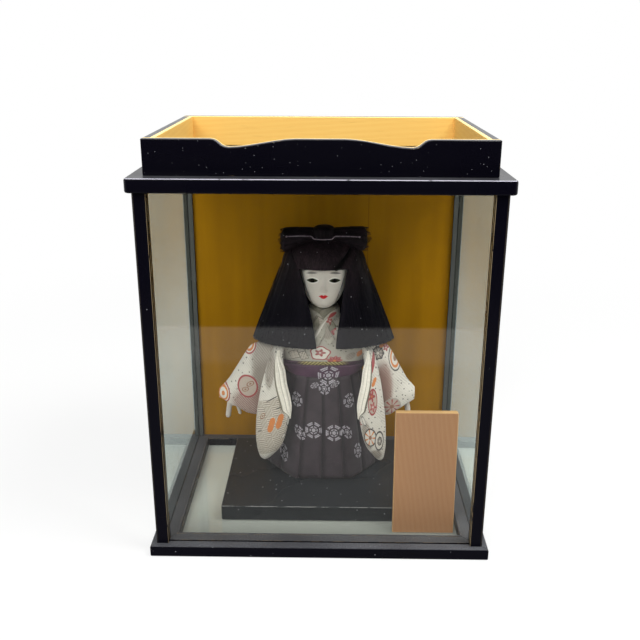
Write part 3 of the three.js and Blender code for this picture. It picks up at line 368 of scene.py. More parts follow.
def joinery(node, body, material, ease=ARRIS, wear_at=None, rounded=False):
    """A CAD piece of wood or glass with eased arrises marked for wear and painted highlight; a rounded one is
    shaded smooth.
    """
    form = cad_form(node)
    ease_arrises(form, ease, wear_at)
    for face in form.faces:
        face.smooth = face.smooth or rounded
    piece = piece_from(form, node + "_eased", material)
    if rounded:
        piece.modifiers.new("even_shading", "WEIGHTED_NORMAL")
    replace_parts(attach(piece, body), node)
    return piece


rail_lacquer = lacquer_finish("rail_lacquer", dustiness=0.3, wear=0.75, settling=0.2,
                              worn_colour=RAIL_WORN, grains=220.0)
for side in ("front", "back", "left", "right"):
    joinery("base_rail_" + side, "case", rail_lacquer)


def groove_wear(centre):
    """Posts are rubbed most on the arrises beside the panes."""
    inner = 151 * MM
    return 1.0 if abs(centre.x) < inner else 0.1


post_lacquer = lacquer_finish("post_lacquer", dustiness=0.04, wear=1.0)
# The back posts carry a painted sheen on their front faces.
hazed_lacquer = lacquer_finish("hazed_lacquer", dustiness=0.04, wear=0.3, hazed=True)
for corner in CORNERS:
    coat = hazed_lacquer if corner.startswith("back") else post_lacquer
    joinery("post_" + corner, "case", coat, ease=0.35, wear_at=groove_wear)

# Panes: four sheets of float glass, cut square with their arrises ground.
# The front is clear, tinted a little warm as painted warm light; the sides carry a painted reflection,
# brownish and darker towards the top, and the floor pane a painted shade.
CLEAR = (0.985, 0.965, 0.935, 1)
FILM_LOW = (0.68, 0.795, 0.78, 1)
FILM_HIGH = (0.44, 0.44, 0.355, 1)
FLOOR_FILM = (0.78, 0.82, 0.78, 1)
LET_THROUGH = (0.95, 0.96, 0.945, 1)
GLASS_IOR = 1.42
GROUND_ARRIS = 0.2


def glass_finish(name, low, high):
    material, tree, shader = finish(name)
    place = object_place(tree)
    height = axes_of(tree, place)["Z"]
    # Painted reflection on the sides and painted shade on the floor: the pane goes from its low tint to its
    # high tint with height.
    film = mixed(tree, ramped(tree, height, 0.14, 0.32), low, high)
    coated(tree, shader, film, ramped(tree, mottle(tree, place, 16, 6), 0.5, 0.8, 0.0, 0.05))
    shader.inputs["Transmission Weight"].default_value = 1.0
    shader.inputs["IOR"].default_value = GLASS_IOR
    path = put(tree, "LightPath").outputs
    lit = calc(tree, "MAXIMUM", path["Is Shadow Ray"], path["Is Diffuse Ray"])
    clear = put(tree, "BsdfTransparent", {"Color": LET_THROUGH})
    shown = put(tree, "MixShader", {0: lit, 1: shader.outputs[0], 2: clear.outputs[0]})
    tree.links.new(shown.outputs[0], tree.nodes["Material Output"].inputs["Surface"])
    return material


joinery("front_glass", "case", glass_finish("front_pane", CLEAR, CLEAR), ease=GROUND_ARRIS)
floor_glass = glass_finish("floor_pane", FLOOR_FILM, FLOOR_FILM)
joinery("floor_pane", "case", floor_glass, ease=GROUND_ARRIS)
side_glass = glass_finish("side_pane", FILM_LOW, FILM_HIGH)
for node in ("left_glass", "right_glass"):
    joinery(node, "case", side_glass, ease=GROUND_ARRIS)

# Back: a plywood panel in the posts' grooves, and on it a card covered with dull gold paper.
# The paper was laid in upright strips, which have darkened unevenly and creased.
GOLD = (0.43, 0.205, 0.001, 1)
GOLD_DULL = (0.34, 0.16, 0.0006, 1)
GOLD_CREASE = (0.07, 0.04, 0.004, 1)
PAPER_JOINT = 52 * MM


def grain_effect():
    """Sawn softwood: growth lines that run along Z and wander, with dark flecks."""
    group, came, goes = effect("wood_grain", {"Place": "Vector"}, {"Line": "Float", "Fleck": "Float"})
    long = put(group, "Mapping", {"Vector": came["Place"], "Scale": (1, 1, 0.06)}).outputs[0]
    drift = mottle(group, long, 26, 3, "Color")
    bent = put(group, "VectorMath", {0: drift, 1: (0.007, 0.007, 0.007), 2: long}, operation="MULTIPLY_ADD")
    rings = put(group, "TexWave", {"Vector": bent.outputs[0], "Scale": 120, "Distortion": 1.2, "Detail": 2.5},
                wave_type="BANDS", bands_direction="DIAGONAL").outputs["Fac"]
    fibre = mottle(group, put(group, "Mapping", {"Vector": came["Place"], "Scale": (1, 1, 0.025)}).outputs[0],
                   1500, 2)
    fill(group, goes, Line=weighed(group, 0.4, rings, fibre), Fleck=ramped(group, fibre, 0.62, 0.75))
    return group


wood_grain = grain_effect()


def wood_coat(tree, along, light, dark, fleck):
    """Colour and grain height of bare wood whose grain runs along X, Y or Z."""
    turned = {"X": (0, math.radians(90), 0), "Y": (math.radians(90), 0, 0), "Z": (0, 0, 0)}[along]
    place = put(tree, "Mapping", {"Vector": object_place(tree), "Rotation": turned}).outputs[0]
    grain = placed(tree, wood_grain, Place=place)
    colour = mixed(tree, grain["Line"], light, dark)
    colour = mixed(tree, calc(tree, "MULTIPLY", grain["Fleck"], 0.35), colour, fleck)
    tone = mottle(tree, object_place(tree), 9, 2)
    return mixed(tree, ramped(tree, tone, 0.35, 0.7, 0, 0.22), colour, dark), grain["Line"]


def wood_finish(name, along, light, dark, fleck, rough=0.55, fresh=None):
    """Bare wood; where fresh is given, that colour is painted on its upper ends and arrises as painted light
    and highlight.
    """
    material, tree, shader = finish(name)
    colour, line = wood_coat(tree, along, light, dark, fleck)
    if fresh:
        cut = calc(tree, "MAXIMUM", face_value(tree, "worn"), ramped(tree, facing(tree)["Z"], 0.4, 0.8))
        colour = mixed(tree, cut, colour, fresh)
    coated(tree, shader, colour, ramped(tree, line, 0, 1, rough, rough + 0.15))
    bumped(tree, shader, line, 0.25, 0.15 * MM)
    return material


def recoat(node, material):
    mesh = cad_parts[node].data
    mesh.materials.clear()
    mesh.materials.append(material)


PLAIN_WOOD = ((0.47, 0.335, 0.185, 1), (0.41, 0.28, 0.145, 1), (0.27, 0.17, 0.085, 1))
plain_wood = wood_finish("plain_wood", "Z", *PLAIN_WOOD)
joinery("back_panel", "case", plain_wood, ease=0.3)
for corner in CORNERS:
    recoat("dowel_" + corner, plain_wood)

gold_paper, tree, shader = finish("gold_paper")
place = object_place(tree)
upright = put(tree, "Mapping", {"Vector": place, "Scale": (1, 1, 0.08)}).outputs[0]
streak = mottle(tree, upright, 45, 4)
cloud = mottle(tree, place, 7, 3)
tone = weighed(tree, 0.5, streak, cloud)
beside = calc(tree, "ABSOLUTE", calc(tree, "SUBTRACT", axes_of(tree, place)["X"], PAPER_JOINT))
crease = ramped(tree, beside, 0.15 * MM, 0.9 * MM, 1, 0)
leaf = mixed(tree, ramped(tree, tone, 0.38, 0.62), GOLD_DULL, GOLD)
leaf = mixed(tree, calc(tree, "MULTIPLY", crease, 0.35), leaf, GOLD_CREASE)
coated(tree, shader, leaf, ramped(tree, streak, 0.3, 0.7, 0.42, 0.6))
shader.inputs["Metallic"].default_value = 0.2
shader.inputs["Specular IOR Level"].default_value = 0.1
paper_height = calc(tree, "SUBTRACT", mottle(tree, place, 700, 3), crease)
bumped(tree, shader, paper_height, 0.25, 0.2 * MM)
joinery("gold_backdrop", "case", gold_paper, ease=0.15)

# Top board and hollow plinth: a rounded lacquered board that closes the case, and on it four boards
# nailed to a tray. They are lacquered outside and over half the rim; inside is bare pine.
PINE_LIGHT = (0.93, 0.60, 0.165, 1)
PINE_DARK = (0.89, 0.53, 0.13, 1)
PINE_FLECK = (0.60, 0.30, 0.07, 1)
PINE_RIM = (0.97, 0.75, 0.34, 1)
LID_WORN = (0.50, 0.49, 0.56, 1)
RIM_LACQUER = 1.5 * MM
lid_lacquer = lacquer_finish("lid_lacquer", gloss=0.15, dustiness=0.03, wear=1.1, settling=0.09,
                             worn_colour=LID_WORN)
# Painted highlight: only the lid's front top arris is marked, and its pale lilac stands for the light along
# it.
lid = joinery("lid_board", "lid", lid_lacquer, ease=0.5, rounded=True)
for face in lid.data.polygons:
    front_arris = face.normal.y < -0.2 and face.normal.z > 0.6
    lid.data.attributes["worn"].data[face.index].value = 1.0 if front_arris else 0.0


def plinth_finish(name, along):
    """Lacquer where the board was sprayed, pine where its bare face value is 1."""
    material, tree, shader = finish(name)
    place = object_place(tree)
    black, rough = lacquer_coat(tree, place, LACQUER_BLACK, dustiness=0.4, wear=0.45, settling=0.11)
    pine, line = wood_coat(tree, along, PINE_LIGHT, PINE_DARK, PINE_FLECK)
    # Painted light: bare faces that look up are painted a paler yellow.
    pine = mixed(tree, ramped(tree, facing(tree)["Z"], 0.4, 0.8), pine, PINE_RIM)
    bare = face_value(tree, "bare")
    rough = calc(tree, "ADD", rough, calc(tree, "MULTIPLY", bare, 0.3))
    coated(tree, shader, mixed(tree, bare, black, pine), rough)
    shader.inputs["Specular IOR Level"].default_value = 0.2
    bumped(tree, shader, calc(tree, "MULTIPLY", line, bare), 0.2, 0.15 * MM)
    return material


for side, along, inward in [
    ("front", "X", Vector((0, 1, 0))), ("back", "X", Vector((0, -1, 0))),
    ("left", "Y", Vector((1, 0, 0))), ("right", "Y", Vector((-1, 0, 0))),
]:
    node = f"tray_{side}_board"
    form = cad_form(node)
    low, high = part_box(node)
    middle = (low + high) / 2 + inward * RIM_LACQUER
    whole = form.verts[:] + form.edges[:] + form.faces[:]
    bmesh.ops.bisect_plane(form, geom=whole, dist=1e-7, plane_co=middle, plane_no=inward)
    ease_arrises(form, 0.5)
    bare = form.faces.layers.float.new("bare")
    for face in form.faces:
        inner_half = (face.calc_center_median() - middle).dot(inward) > 0
        butted_end = abs(face.normal.dot(Vector((inward.y, inward.x, 0)))) > 0.9
        face[bare] = 1.0 if inner_half and not butted_end else 0.0
    piece = piece_from(form, node + "_eased", plinth_finish(f"plinth_{side}", along))
    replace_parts(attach(piece, "lid"), node)

# Tablet: a planed cedar board that leans back a little on a block glued behind it.
# Its face is bare.
TABLET_WOOD = ((0.36, 0.185, 0.082, 1), (0.315, 0.152, 0.062, 1), (0.26, 0.118, 0.046, 1))
TABLET_FRESH = (0.60, 0.37, 0.15, 1)
# The tablet's upper ends carry painted light and its arrises a painted highlight.
tablet_wood = wood_finish("tablet_wood", "Z", *TABLET_WOOD, rough=0.5, fresh=TABLET_FRESH)
joinery("name_board", "name_tablet", tablet_wood, ease=0.5)
joinery("name_board_foot", "name_tablet", tablet_wood, ease=0.4)

# Doll's stand: a solid board under the same lacquer, bored for the two rods that carry the doll.
# It has gone dull grey, is rubbed along its arrises and holds coarse grains of dust.
STAND_BLACK = (0.0175, 0.0200, 0.0230, 1)
STAND_WORN = (0.30, 0.30, 0.30, 1)
stand_lacquer = lacquer_finish("stand_lacquer", gloss=0.15, black=STAND_BLACK, dustiness=0.5, wear=0.9,
                               settling=0.015, worn_colour=STAND_WORN, grains=140.0)
joinery("doll_stand", "doll", stand_lacquer, ease=0.4)

# Doll's hidden frame: a bound straw body on two rods, one wire through it for both arms, and a neck peg.
# They keep their CAD forms and show only when the doll is undressed.
STRAW = ((0.52, 0.39, 0.17, 1), (0.36, 0.25, 0.09, 1), (0.22, 0.14, 0.05, 1))
STEEL = (0.42, 0.4, 0.38, 1)
RUST = (0.2, 0.1, 0.05, 1)
recoat("body_core", wood_finish("straw", "Z", *STRAW, rough=0.7))
for node in ("leg_rod_left", "leg_rod_right", "neck_peg"):
    recoat(node, plain_wood)
steel_wire, tree, shader = finish("steel_wire")
rust = ramped(tree, mottle(tree, object_place(tree), 300, 4), 0.45, 0.65)
coated(tree, shader, mixed(tree, rust, STEEL, RUST), ramped(tree, rust, 0, 1, 0.3, 0.7))
shader.inputs["Metallic"].default_value = 0.8
recoat("arm_wire", steel_wire)

# Kimono: silk brocade over the straw, ivory ground with silver thread and scattered traditional figures.
# The body is a tube closed left over right; all figures are given in millimetres on the doll's front.
stand_low, stand_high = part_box("doll_stand")
DOLL_SET_BACK = 21.5
DOLL_FOOT = Vector((
    (stand_low.x + stand_high.x) / 2 / MM,
    (stand_low.y + stand_high.y) / 2 / MM + DOLL_SET_BACK,
    stand_high.z / MM,
))
FRONT = 0.75
IVORY = (0.70, 0.68, 0.62, 1)
SILVER = (0.40, 0.37, 0.33, 1)
RED = (0.32, 0.014, 0.022, 1)
PINK = (0.46, 0.16, 0.15, 1)
ORANGE = (0.64, 0.19, 0.02, 1)
BROWN = (0.27, 0.12, 0.06, 1)
INK = (0.025, 0.022, 0.025, 1)
BEIGE = (0.46, 0.38, 0.32, 1)
PATCH = (0.60, 0.55, 0.47, 1)
HATCH = (0.235, 0.20, 0.165, 1)
RUSSET = (0.24, 0.11, 0.085, 1)
HATCH_STEP = 1.5
# Colours of a patch's field, hatching and outline
PATCHES = {"patch": (PATCH, HATCH, INK), "basket": (PATCH, HATCH, None)}
# Painted shade: soft patches that darken the cloth where it lies in shadow, with the slanting threads showing
# through.
SHADES = {"russet_shade": RUSSET, "grey_shade": HATCH}
# Height, half width, half depth and middle of the padded body
BODY_LEVELS = [
    (108, 36.5, 28.5, 0), (118.5, 36.5, 28.5, 0), (135.5, 37.5, 28, -1), (154.6, 39.5, 27.5, -2),
    (165.6, 36.5, 24.5, -3), (175, 29, 19, -4), (182, 18, 15.5, -5), (189, 13.6, 13.4, -6),
]
SIDE_PUFF = 9


def lerp(first, second, share):
    return first + (second - first) * share


def eased(low, high, value):
    share = min(max((value - low) / (high - low), 0), 1)
    return share * share * (3 - 2 * share)


def flow(rows, share):
    """Reads a table of rows as one smooth curve, at a share of the way along it."""
    place = min(max(share, 0), 1) * (len(rows) - 1)
    index = min(int(place), len(rows) - 2)
    f = place - index
    a, b, c, d = (rows[min(max(index + step, 0), len(rows) - 1)] for step in (-1, 0, 1, 2))
    return [
        q + 0.5 * f * (r - p + f * (2 * p - 5 * q + 4 * r - s + f * (3 * q - p - 3 * r + s)))
        for p, q, r, s in zip(a, b, c, d)
    ]


def level_at(levels, height):
    """Reads a table whose rows start with a height as one smooth curve, at this height."""
    index = max(k for k in range(len(levels) - 1) if levels[k][0] <= max(height, levels[0][0]))
    span = levels[index + 1][0] - levels[index][0]
    share = (index + (height - levels[index][0]) / span) / (len(levels) - 1)
    return flow(levels, share)[1:]


def ripple(x, y, seed):
    return noise.noise(Vector((x, y, seed)))


def body_point(turn, height, out):
    """A point this far out from the padded body, which bulges at its sides; turn 0.75 is its front."""
    half_width, half_depth, middle = level_at(BODY_LEVELS, height)
    half_width += SIDE_PUFF * eased(112, 133, height) * eased(160, 150, height)
    angle = turn * math.tau
    return Vector((
        (half_width + out) * math.cos(angle), middle + (half_depth + out) * math.sin(angle), height))


def laid(name, columns, rows, place, *materials, closed=False, maps=("cloth",)):
    """A piece whose grid follows place(u, v): a point on the doll and the cloth's own place, both in mm."""
    form = bmesh.new()
    bmesh.ops.create_grid(form, x_segments=columns, y_segments=rows, size=0.5)
    layers = [form.loops.layers.uv.new(kind) for kind in maps]
    spots = {}
    for vert in form.verts:
        point, *spots[vert] = place(vert.co.x + 0.5, vert.co.y + 0.5)
        vert.co = (DOLL_FOOT + Vector(point)) * MM
    for face in form.faces:
        face.smooth = True
        for loop in face.loops:
            for layer, spot in zip(layers, spots[loop.vert]):
                loop[layer].uv = spot
    if closed:
        bmesh.ops.remove_doubles(form, verts=form.verts, dist=0.02 * MM)
    bmesh.ops.recalc_face_normals(form, faces=form.faces)
    middle = sum((vert.co for vert in form.verts), Vector()) / len(form.verts)
    if sum(face.normal.dot(face.calc_center_median() - middle) for face in form.faces) < 0:
        bmesh.ops.reverse_faces(form, faces=form.faces)
    piece = piece_from(form, name, materials[0])
    for more in materials[1:]:
        piece.data.materials.append(more)
    return piece


def thicken(piece, thickness, offset=-1.0, lined=False):
    wall = piece.modifiers.new("cloth_thickness", "SOLIDIFY")
    wall.thickness = thickness * MM
    wall.offset = offset
    wall.material_offset = 1 if lined else 0


def worn_by_doll(piece, node):
    """Rides a cloth on the doll and hides the CAD part it replaces."""
    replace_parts(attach(piece, "doll"), node)


def weave_effect():
    """Plain weave: threads that pass over and under, a few to the millimetre."""
    group, came, goes = effect("weave", {"Cloth": "Vector", "Threads": "Float"}, {"Height": "Float"})
    scaled = put(group, "VectorMath", {0: came["Cloth"], "Scale": came["Threads"]}, operation="SCALE")
    axes = axes_of(group, scaled.outputs[0])
    warp = calc(group, "SINE", calc(group, "MULTIPLY", axes["X"], math.tau))
    weft = calc(group, "SINE", calc(group, "MULTIPLY", axes["Y"], math.tau))
    fill(group, goes, Height=calc(group, "MULTIPLY_ADD", calc(group, "MULTIPLY", warp, weft), 0.5, 0.5))
    return group


def crest_effect():
    """Masks of a round figure of radius 1: petals, rim, inner rings, spokes and core."""
    inputs = {"Place": "Vector", "Lobes": "Float", "Depth": "Float", "Rim": "Float", "Rings": "Float",
              "Spokes": "Float"}
    group, came, goes = effect(
        "round_figure", inputs, {name: "Float" for name in ("Body", "Rim", "Ring", "Spoke", "Core")})
    axes = axes_of(group, came["Place"])
    square = calc(group, "ADD", calc(group, "MULTIPLY", axes["X"], axes["X"]),
                  calc(group, "MULTIPLY", axes["Y"], axes["Y"]))
    radius = calc(group, "SQRT", square)
    angle = calc(group, "ARCTAN2", axes["Y"], axes["X"])
    lobes = calc(group, "COSINE", calc(group, "MULTIPLY", angle, came["Lobes"]))
    edge = calc(group, "SUBTRACT", 1, calc(group, "MULTIPLY", came["Depth"],
                                           calc(group, "MULTIPLY_ADD", lobes, -0.5, 0.5)))
    rho = calc(group, "DIVIDE", radius, edge)
    body = ramped(group, rho, 0.97, 1.03, 1, 0)
    inside = calc(group, "SUBTRACT", 1, came["Rim"])
    rim = calc(group, "MULTIPLY", body, ramped(group, rho, calc(group, "SUBTRACT", inside, 0.04), inside))
    wave = calc(group, "SINE", calc(group, "MULTIPLY", calc(group, "MULTIPLY", rho, came["Rings"]), math.tau))
    spoke = calc(group, "COSINE", calc(group, "MULTIPLY", angle, came["Spokes"]))
    fill(group, goes, Body=body, Rim=rim, Ring=calc(group, "MULTIPLY", body, ramped(group, wave, 0.1, 0.4)),
         Spoke=ramped(group, spoke, 0.55, 0.75), Core=ramped(group, rho, 0.2, 0.26, 1, 0))
    return group


def patch_effect():
    """Masks of a square figure of half side 1: its field, its outline and basket hatching inside."""
    group, came, goes = effect("hatched_patch", {"Place": "Vector", "Lines": "Float"},
                               {name: "Float" for name in ("Body", "Rim", "Hatch")})
    axes = axes_of(group, came["Place"])
    far = calc(group, "MAXIMUM", calc(group, "ABSOLUTE", axes["X"]), calc(group, "ABSOLUTE", axes["Y"]))
    body = ramped(group, far, 0.97, 1.02, 1, 0)
    rim = calc(group, "MULTIPLY", body, ramped(group, far, 0.86, 0.91))
    checks = put(group, "TexChecker", {"Vector": came["Place"], "Scale": 2.6}).outputs["Fac"]
    across = calc(group, "SINE", calc(group, "MULTIPLY", axes["X"], came["Lines"]))
    along = calc(group, "SINE", calc(group, "MULTIPLY", axes["Y"], came["Lines"]))
    lines = calc(group, "ADD", calc(group, "MULTIPLY", across, checks),
                 calc(group, "MULTIPLY", along, calc(group, "SUBTRACT", 1, checks)))
    fill(group, goes, Body=body, Rim=rim, Hatch=calc(group, "MULTIPLY", body, ramped(group, lines, 0, 0.5)))
    return group


weave = weave_effect()
woven_knots = speck_effect("woven_knots", "2D")
round_figure = crest_effect()
hatched_patch = patch_effect()
# Lobes, petal depth, rim, rings and spokes, then the colours of field, ring, spoke, rim and core
FIGURES = {
    "ring": ((1, 0, 0.13, 0, 0), (BEIGE, None, None, RED, None)),
    "dark_ring": ((1, 0, 0.16, 0, 0), (IVORY, None, None, INK, None)),
    "arcs": ((1, 0, 0.14, 2, 0), (IVORY, ORANGE, None, RED, None)),
    "target": ((1, 0, 0.1, 2, 0), (IVORY, ORANGE, None, INK, BROWN)),
    "wheel": ((1, 0, 0.12, 0, 8), (BEIGE, None, RED, SILVER, BROWN)),
    "dark_wheel": ((1, 0, 0.13, 0, 7), (IVORY, None, ORANGE, INK, BROWN)),
    "blossom": ((5, 0.55, 0.0, 0, 0), (RED, None, None, None, ORANGE)),
    "pink_blossom": ((5, 0.4, 0.0, 0, 5), (PINK, None, RED, None, IVORY)),
    "orange_leaf": ((2, 0.5, 0.0, 0, 0), (ORANGE, None, None, None, None)),
    "curl": ((2, 0.3, 0.26, 1.4, 0), (None, BROWN, None, BROWN, None)),
    "ink_leaf": ((2, 0.45, 0.2, 0, 0), (IVORY, None, None, INK, None)),
    "ink_line": ((2, 0, 0.0, 0, 0), (INK, None, None, None, None)),
    "red_field": ((4, 0.1, 0.0, 0, 0), (RED, None, None, None, None)),
    "pale_band": ((4, 0.1, 0.0, 0, 0), (IVORY, None, None, None, None)),
    "grey_flower": ((7, 0.12, 0.16, 1.5, 7), (SILVER, HATCH, INK, INK, IVORY)),
    "pentagon": ((5, 0.14, 0.12, 0, 0), (IVORY, None, None, RED, None)),
    "fan": ((9, 0.3, 0.0, 0, 9), (RED, None, PINK, None, ORANGE)),
}


def cloth_place(tree, kind="cloth"):
    """A place on the cloth's own map, in mm, or on another map that it has."""
    return put(tree, "UVMap", uv_map=kind).outputs[0]


def figure_place(tree, cloth, centre, size, turned):
    sockets = {"Vector": cloth, "Location": (*centre, 0), "Rotation": (0, 0, math.radians(turned)),
               "Scale": (*size, 1)}
    return put(tree, "Mapping", sockets, vector_type="TEXTURE").outputs[0]


def over(tree, ground, mask, colour):
    return ground if colour is None else mixed(tree, mask, ground, colour)


def slanting(tree, cloth):
    """Slanting threads about two millimetres apart."""
    return put(tree, "TexWave", {"Vector": cloth, "Scale": 0.21, "Distortion": 2.0, "Detail": 1.0},
               bands_direction="DIAGONAL").outputs["Fac"]


def figured(tree, cloth, ground, kind, x, y, wide, tall=None, turned=0):
    """Adds one woven figure to the ground colour; a shade kind adds a patch of painted shade instead."""
    place = figure_place(tree, cloth, (x, y), (wide, tall or wide), turned)
    if kind in PATCHES:
        lines = math.tau * wide / HATCH_STEP
        masks = placed(tree, hatched_patch, Place=place, Lines=lines)
        for mask, colour in zip(("Body", "Hatch", "Rim"), PATCHES[kind]):
            ground = over(tree, ground, masks[mask], colour)
        return ground
    if kind in SHADES:
        far = put(tree, "VectorMath", {0: place}, operation="LENGTH").outputs["Value"]
        lines = ramped(tree, slanting(tree, cloth), 0.3, 0.8, 0.6, 1.0)
        shade = calc(tree, "MULTIPLY", ramped(tree, far, 0.6, 1, 1, 0), lines)
        return mixed(tree, shade, ground, SHADES[kind])
    shape, colours = FIGURES[kind]
    sockets = dict(zip(("Lobes", "Depth", "Rim", "Rings", "Spokes"), map(float, shape)))
    masks = placed(tree, round_figure, Place=place, **sockets)
    inside = masks["Body"]
    ground = over(tree, ground, inside, colours[0])
    ground = over(tree, ground, masks["Ring"], colours[1])
    ground = over(tree, ground, calc(tree, "MULTIPLY", inside, masks["Spoke"]), colours[2])
    ground = over(tree, ground, masks["Rim"], colours[3])
    return over(tree, ground, masks["Core"], colours[4])


def brocade(name, figures, base=IVORY):
    """Ivory brocade with silver thread and dark knots in its ground, these figures woven in, and its shade
    figures as painted shade.
    """
    material, tree, shader = finish(name)
    cloth = cloth_place(tree)
    threads = placed(tree, weave, Cloth=cloth, Threads=1.1)[0]
    shade = ramped(tree, mottle(tree, cloth, 0.05, 2), 0.4, 0.65)
    slant = ramped(tree, slanting(tree, cloth), 0.4, 0.8)
    silver = calc(tree, "MULTIPLY", slant, ramped(tree, shade, 0, 1, 0.15, 0.6))
    knots = placed(tree, woven_knots, Place=cloth, Cells=0.155, Amount=0.8)[0]
    ground = mixed(tree, silver, base, SILVER)
    ground = mixed(tree, knots, ground, INK)
    for figure in figures:
        ground = figured(tree, cloth, ground, *figure)
    ground = mixed(tree, calc(tree, "MULTIPLY", calc(tree, "SUBTRACT", 1, threads), 0.22), ground, SILVER)
    coated(tree, shader, ground, ramped(tree, silver, 0, 1, 0.62, 0.4))
    shader.inputs["Sheen Weight"].default_value = 0.15
    height = calc(tree, "MULTIPLY_ADD", silver, 0.6, threads)
    bumped(tree, shader, height, 0.4, 0.12 * MM)
    return material


OVERLAP_TOP = (7, 184)
OVERLAP_FOOT = (-13, 138)
# Painted shade: the chest's ground is ivory painted darker for the shade it lies in.
CHEST_GROUND = (0.40, 0.38, 0.325, 1)
BODY_GIRTH = 2 * math.pi * 38
BODY_FOOT = 109
BODY_TOP = 188.6


def front_edge(height):
    """Where the upper front's edge crosses the chest at this height."""
    share = (height - OVERLAP_FOOT[1]) / (OVERLAP_TOP[1] - OVERLAP_FOOT[1])
    return lerp(OVERLAP_FOOT[0], OVERLAP_TOP[0], share)


def kimono_body_place(u, v):
    turned = u + 0.25
    height = lerp(BODY_FOOT, BODY_TOP, v)
    across = (turned - FRONT) * BODY_GIRTH
    upper = eased(-1, 1.2, across - front_edge(height)) * eased(70, 40, abs(across))
    crumple = 0.7 * ripple(across * 0.09, height * 0.05, 2.0)
    return body_point(turned, height, 0.55 * upper - 0.5 + crumple), (across, height)


chest_brocade = brocade("chest_brocade", [
    ("patch", -28, 141, 6, 4.5, 20), ("patch", -18, 141.5, 4, 4.5, 20),
    ("pentagon", -2.6, 145.4, 9.5, 8.5, 12), ("pink_blossom", -2.6, 146, 5, 4.4), ("fan", 10, 136.5, 8, 6),
    ("orange_leaf", 38, 141, 5, 6, 10), ("grey_shade", -9, 160, 7, 9, 35), ("grey_shade", 26, 140, 7, 5, 20),
    ("pink_blossom", 10, 171.5, 6.5), ("ink_line", 4, 160, 7, 0.4, -40), ("wheel", 70, 150, 10),
    ("ring", -75, 150, 10), ("target", 105, 140, 11), ("dark_wheel", -105, 160, 10),
], base=CHEST_GROUND)
kimono_body = laid("kimono_body_cloth", 120, 40, kimono_body_place, chest_brocade, closed=True)
thicken(kimono_body, 1.2)
worn_by_doll(kimono_body, "kimono_body")

# Collars: two long bands that run round the neck and cross on the chest, the left over the right.
# The under collar is plain ivory silk and stands a little higher than the brocade one; both collars are
# painted darker as painted shade under the chin.
COLLAR_WIDTH = 10
COLLAR_GROUND = (0.42, 0.40, 0.335, 1)
COLLAR_SILK = ((0.26, 0.245, 0.19, 1), (0.15, 0.14, 0.105, 1))
LINING = ((0.90, 0.87, 0.79, 1), (0.74, 0.71, 0.62, 1))
LINING_FOLD = (0.16, 0.145, 0.10, 1)
# Turn round the body and height of the band's middle, from the lower left front round the back
COLLAR_FRONT = [(0.715, 158), (0.735, 167), (0.765, 177), (0.83, 184), (0.93, 186), (1.05, 186.8)]
UNDER_FRONT = [(0.70, 171), (0.733, 182), (0.765, 187.5), (0.83, 189.3), (0.93, 189.3), (1.05, 189)]


def round_neck(front):
    """The whole path of a collar whose two fronts are alike."""
    return [*front, (1.25, front[-1][1]), *((2.5 - turned, height) for turned, height in reversed(front))]


def collar_place(path, out, width):
    def place(u, v):
        turned, height = flow(path, u)
        after, after_height = flow(path, u + 0.002)
        before, before_height = flow(path, u - 0.002)
        upper = 0.9 * eased(0.55, 0.45, u)
        middle = body_point(turned, height, out + upper)
        along = (body_point(after, after_height, out) - body_point(before, before_height, out)).normalized()
        outward = Vector((math.cos(turned * math.tau), math.sin(turned * math.tau), 0))
        rise = outward.cross(along).normalized()
        curl = -0.5 * (2 * v - 1) ** 2
        return middle + rise * (v - 0.5) * width + outward * curl, (u * 200, v * width)
    return place


def silk(name, colour, shade, creased=False):
    """Plain silk with a soft sheen; fold-shaded silk has painted shade along its outer edge and two folds."""
    material, tree, shader = finish(name)
    cloth = cloth_place(tree)
    height = placed(tree, weave, Cloth=cloth, Threads=1.3)[0]
    slub = mottle(tree, put(tree, "Mapping", {"Vector": cloth, "Scale": (0.15, 1, 1)}).outputs[0], 0.9, 3)
    tone = calc(tree, "MULTIPLY_ADD", height, 0.3, ramped(tree, slub, 0.35, 0.7, 0, 0.6))
    ground = mixed(tree, tone, colour, shade)
    if creased:
        # Painted shade: dark along the outer edge and in two folds.
        on = axes_of(tree, cloth_place(tree, "crease"))["X"]
        fold = ramped(tree, calc(tree, "COSINE", calc(tree, "MULTIPLY", on, math.tau * 3)), 0.75, 1.0, 0, 0.5)
        dark = calc(tree, "MAXIMUM", fold, ramped(tree, on, 0.88, 0.96))
        ground = mixed(tree, dark, ground, LINING_FOLD)
    coated(tree, shader, ground, ramped(tree, slub, 0.3, 0.7, 0.45, 0.6))
    shader.inputs["Sheen Weight"].default_value = 0.2
    bumped(tree, shader, height, 0.3, 0.1 * MM)
    return material


lining_silk = silk("lining_silk", *LINING)
creased_silk = silk("creased_silk", *LINING, creased=True)
collar_silk = silk("collar_silk", *COLLAR_SILK)
under_collar = laid(
    "under_collar_band", 150, 6, collar_place(round_neck(UNDER_FRONT), 1.0, COLLAR_WIDTH), collar_silk)
thicken(under_collar, 0.6)
worn_by_doll(under_collar, "under_collar")

collar_brocade = brocade("collar_brocade", [
    ("red_field", 52, 6.6, 9, 2.1), ("pink_blossom", 41, 3.2, 6, 5), ("blossom", 80, 4, 4),
    ("patch", 160, 4, 8, 5, 15), ("grey_shade", 180, 5, 14, 6), ("pale_band", 23, 7.2, 20, 1),
], base=COLLAR_GROUND)
kimono_collar = laid(
    "kimono_collar_band", 150, 8, collar_place(round_neck(COLLAR_FRONT), 2.0, COLLAR_WIDTH), collar_brocade)
thicken(kimono_collar, 0.8)
worn_by_doll(kimono_collar, "kimono_collar")

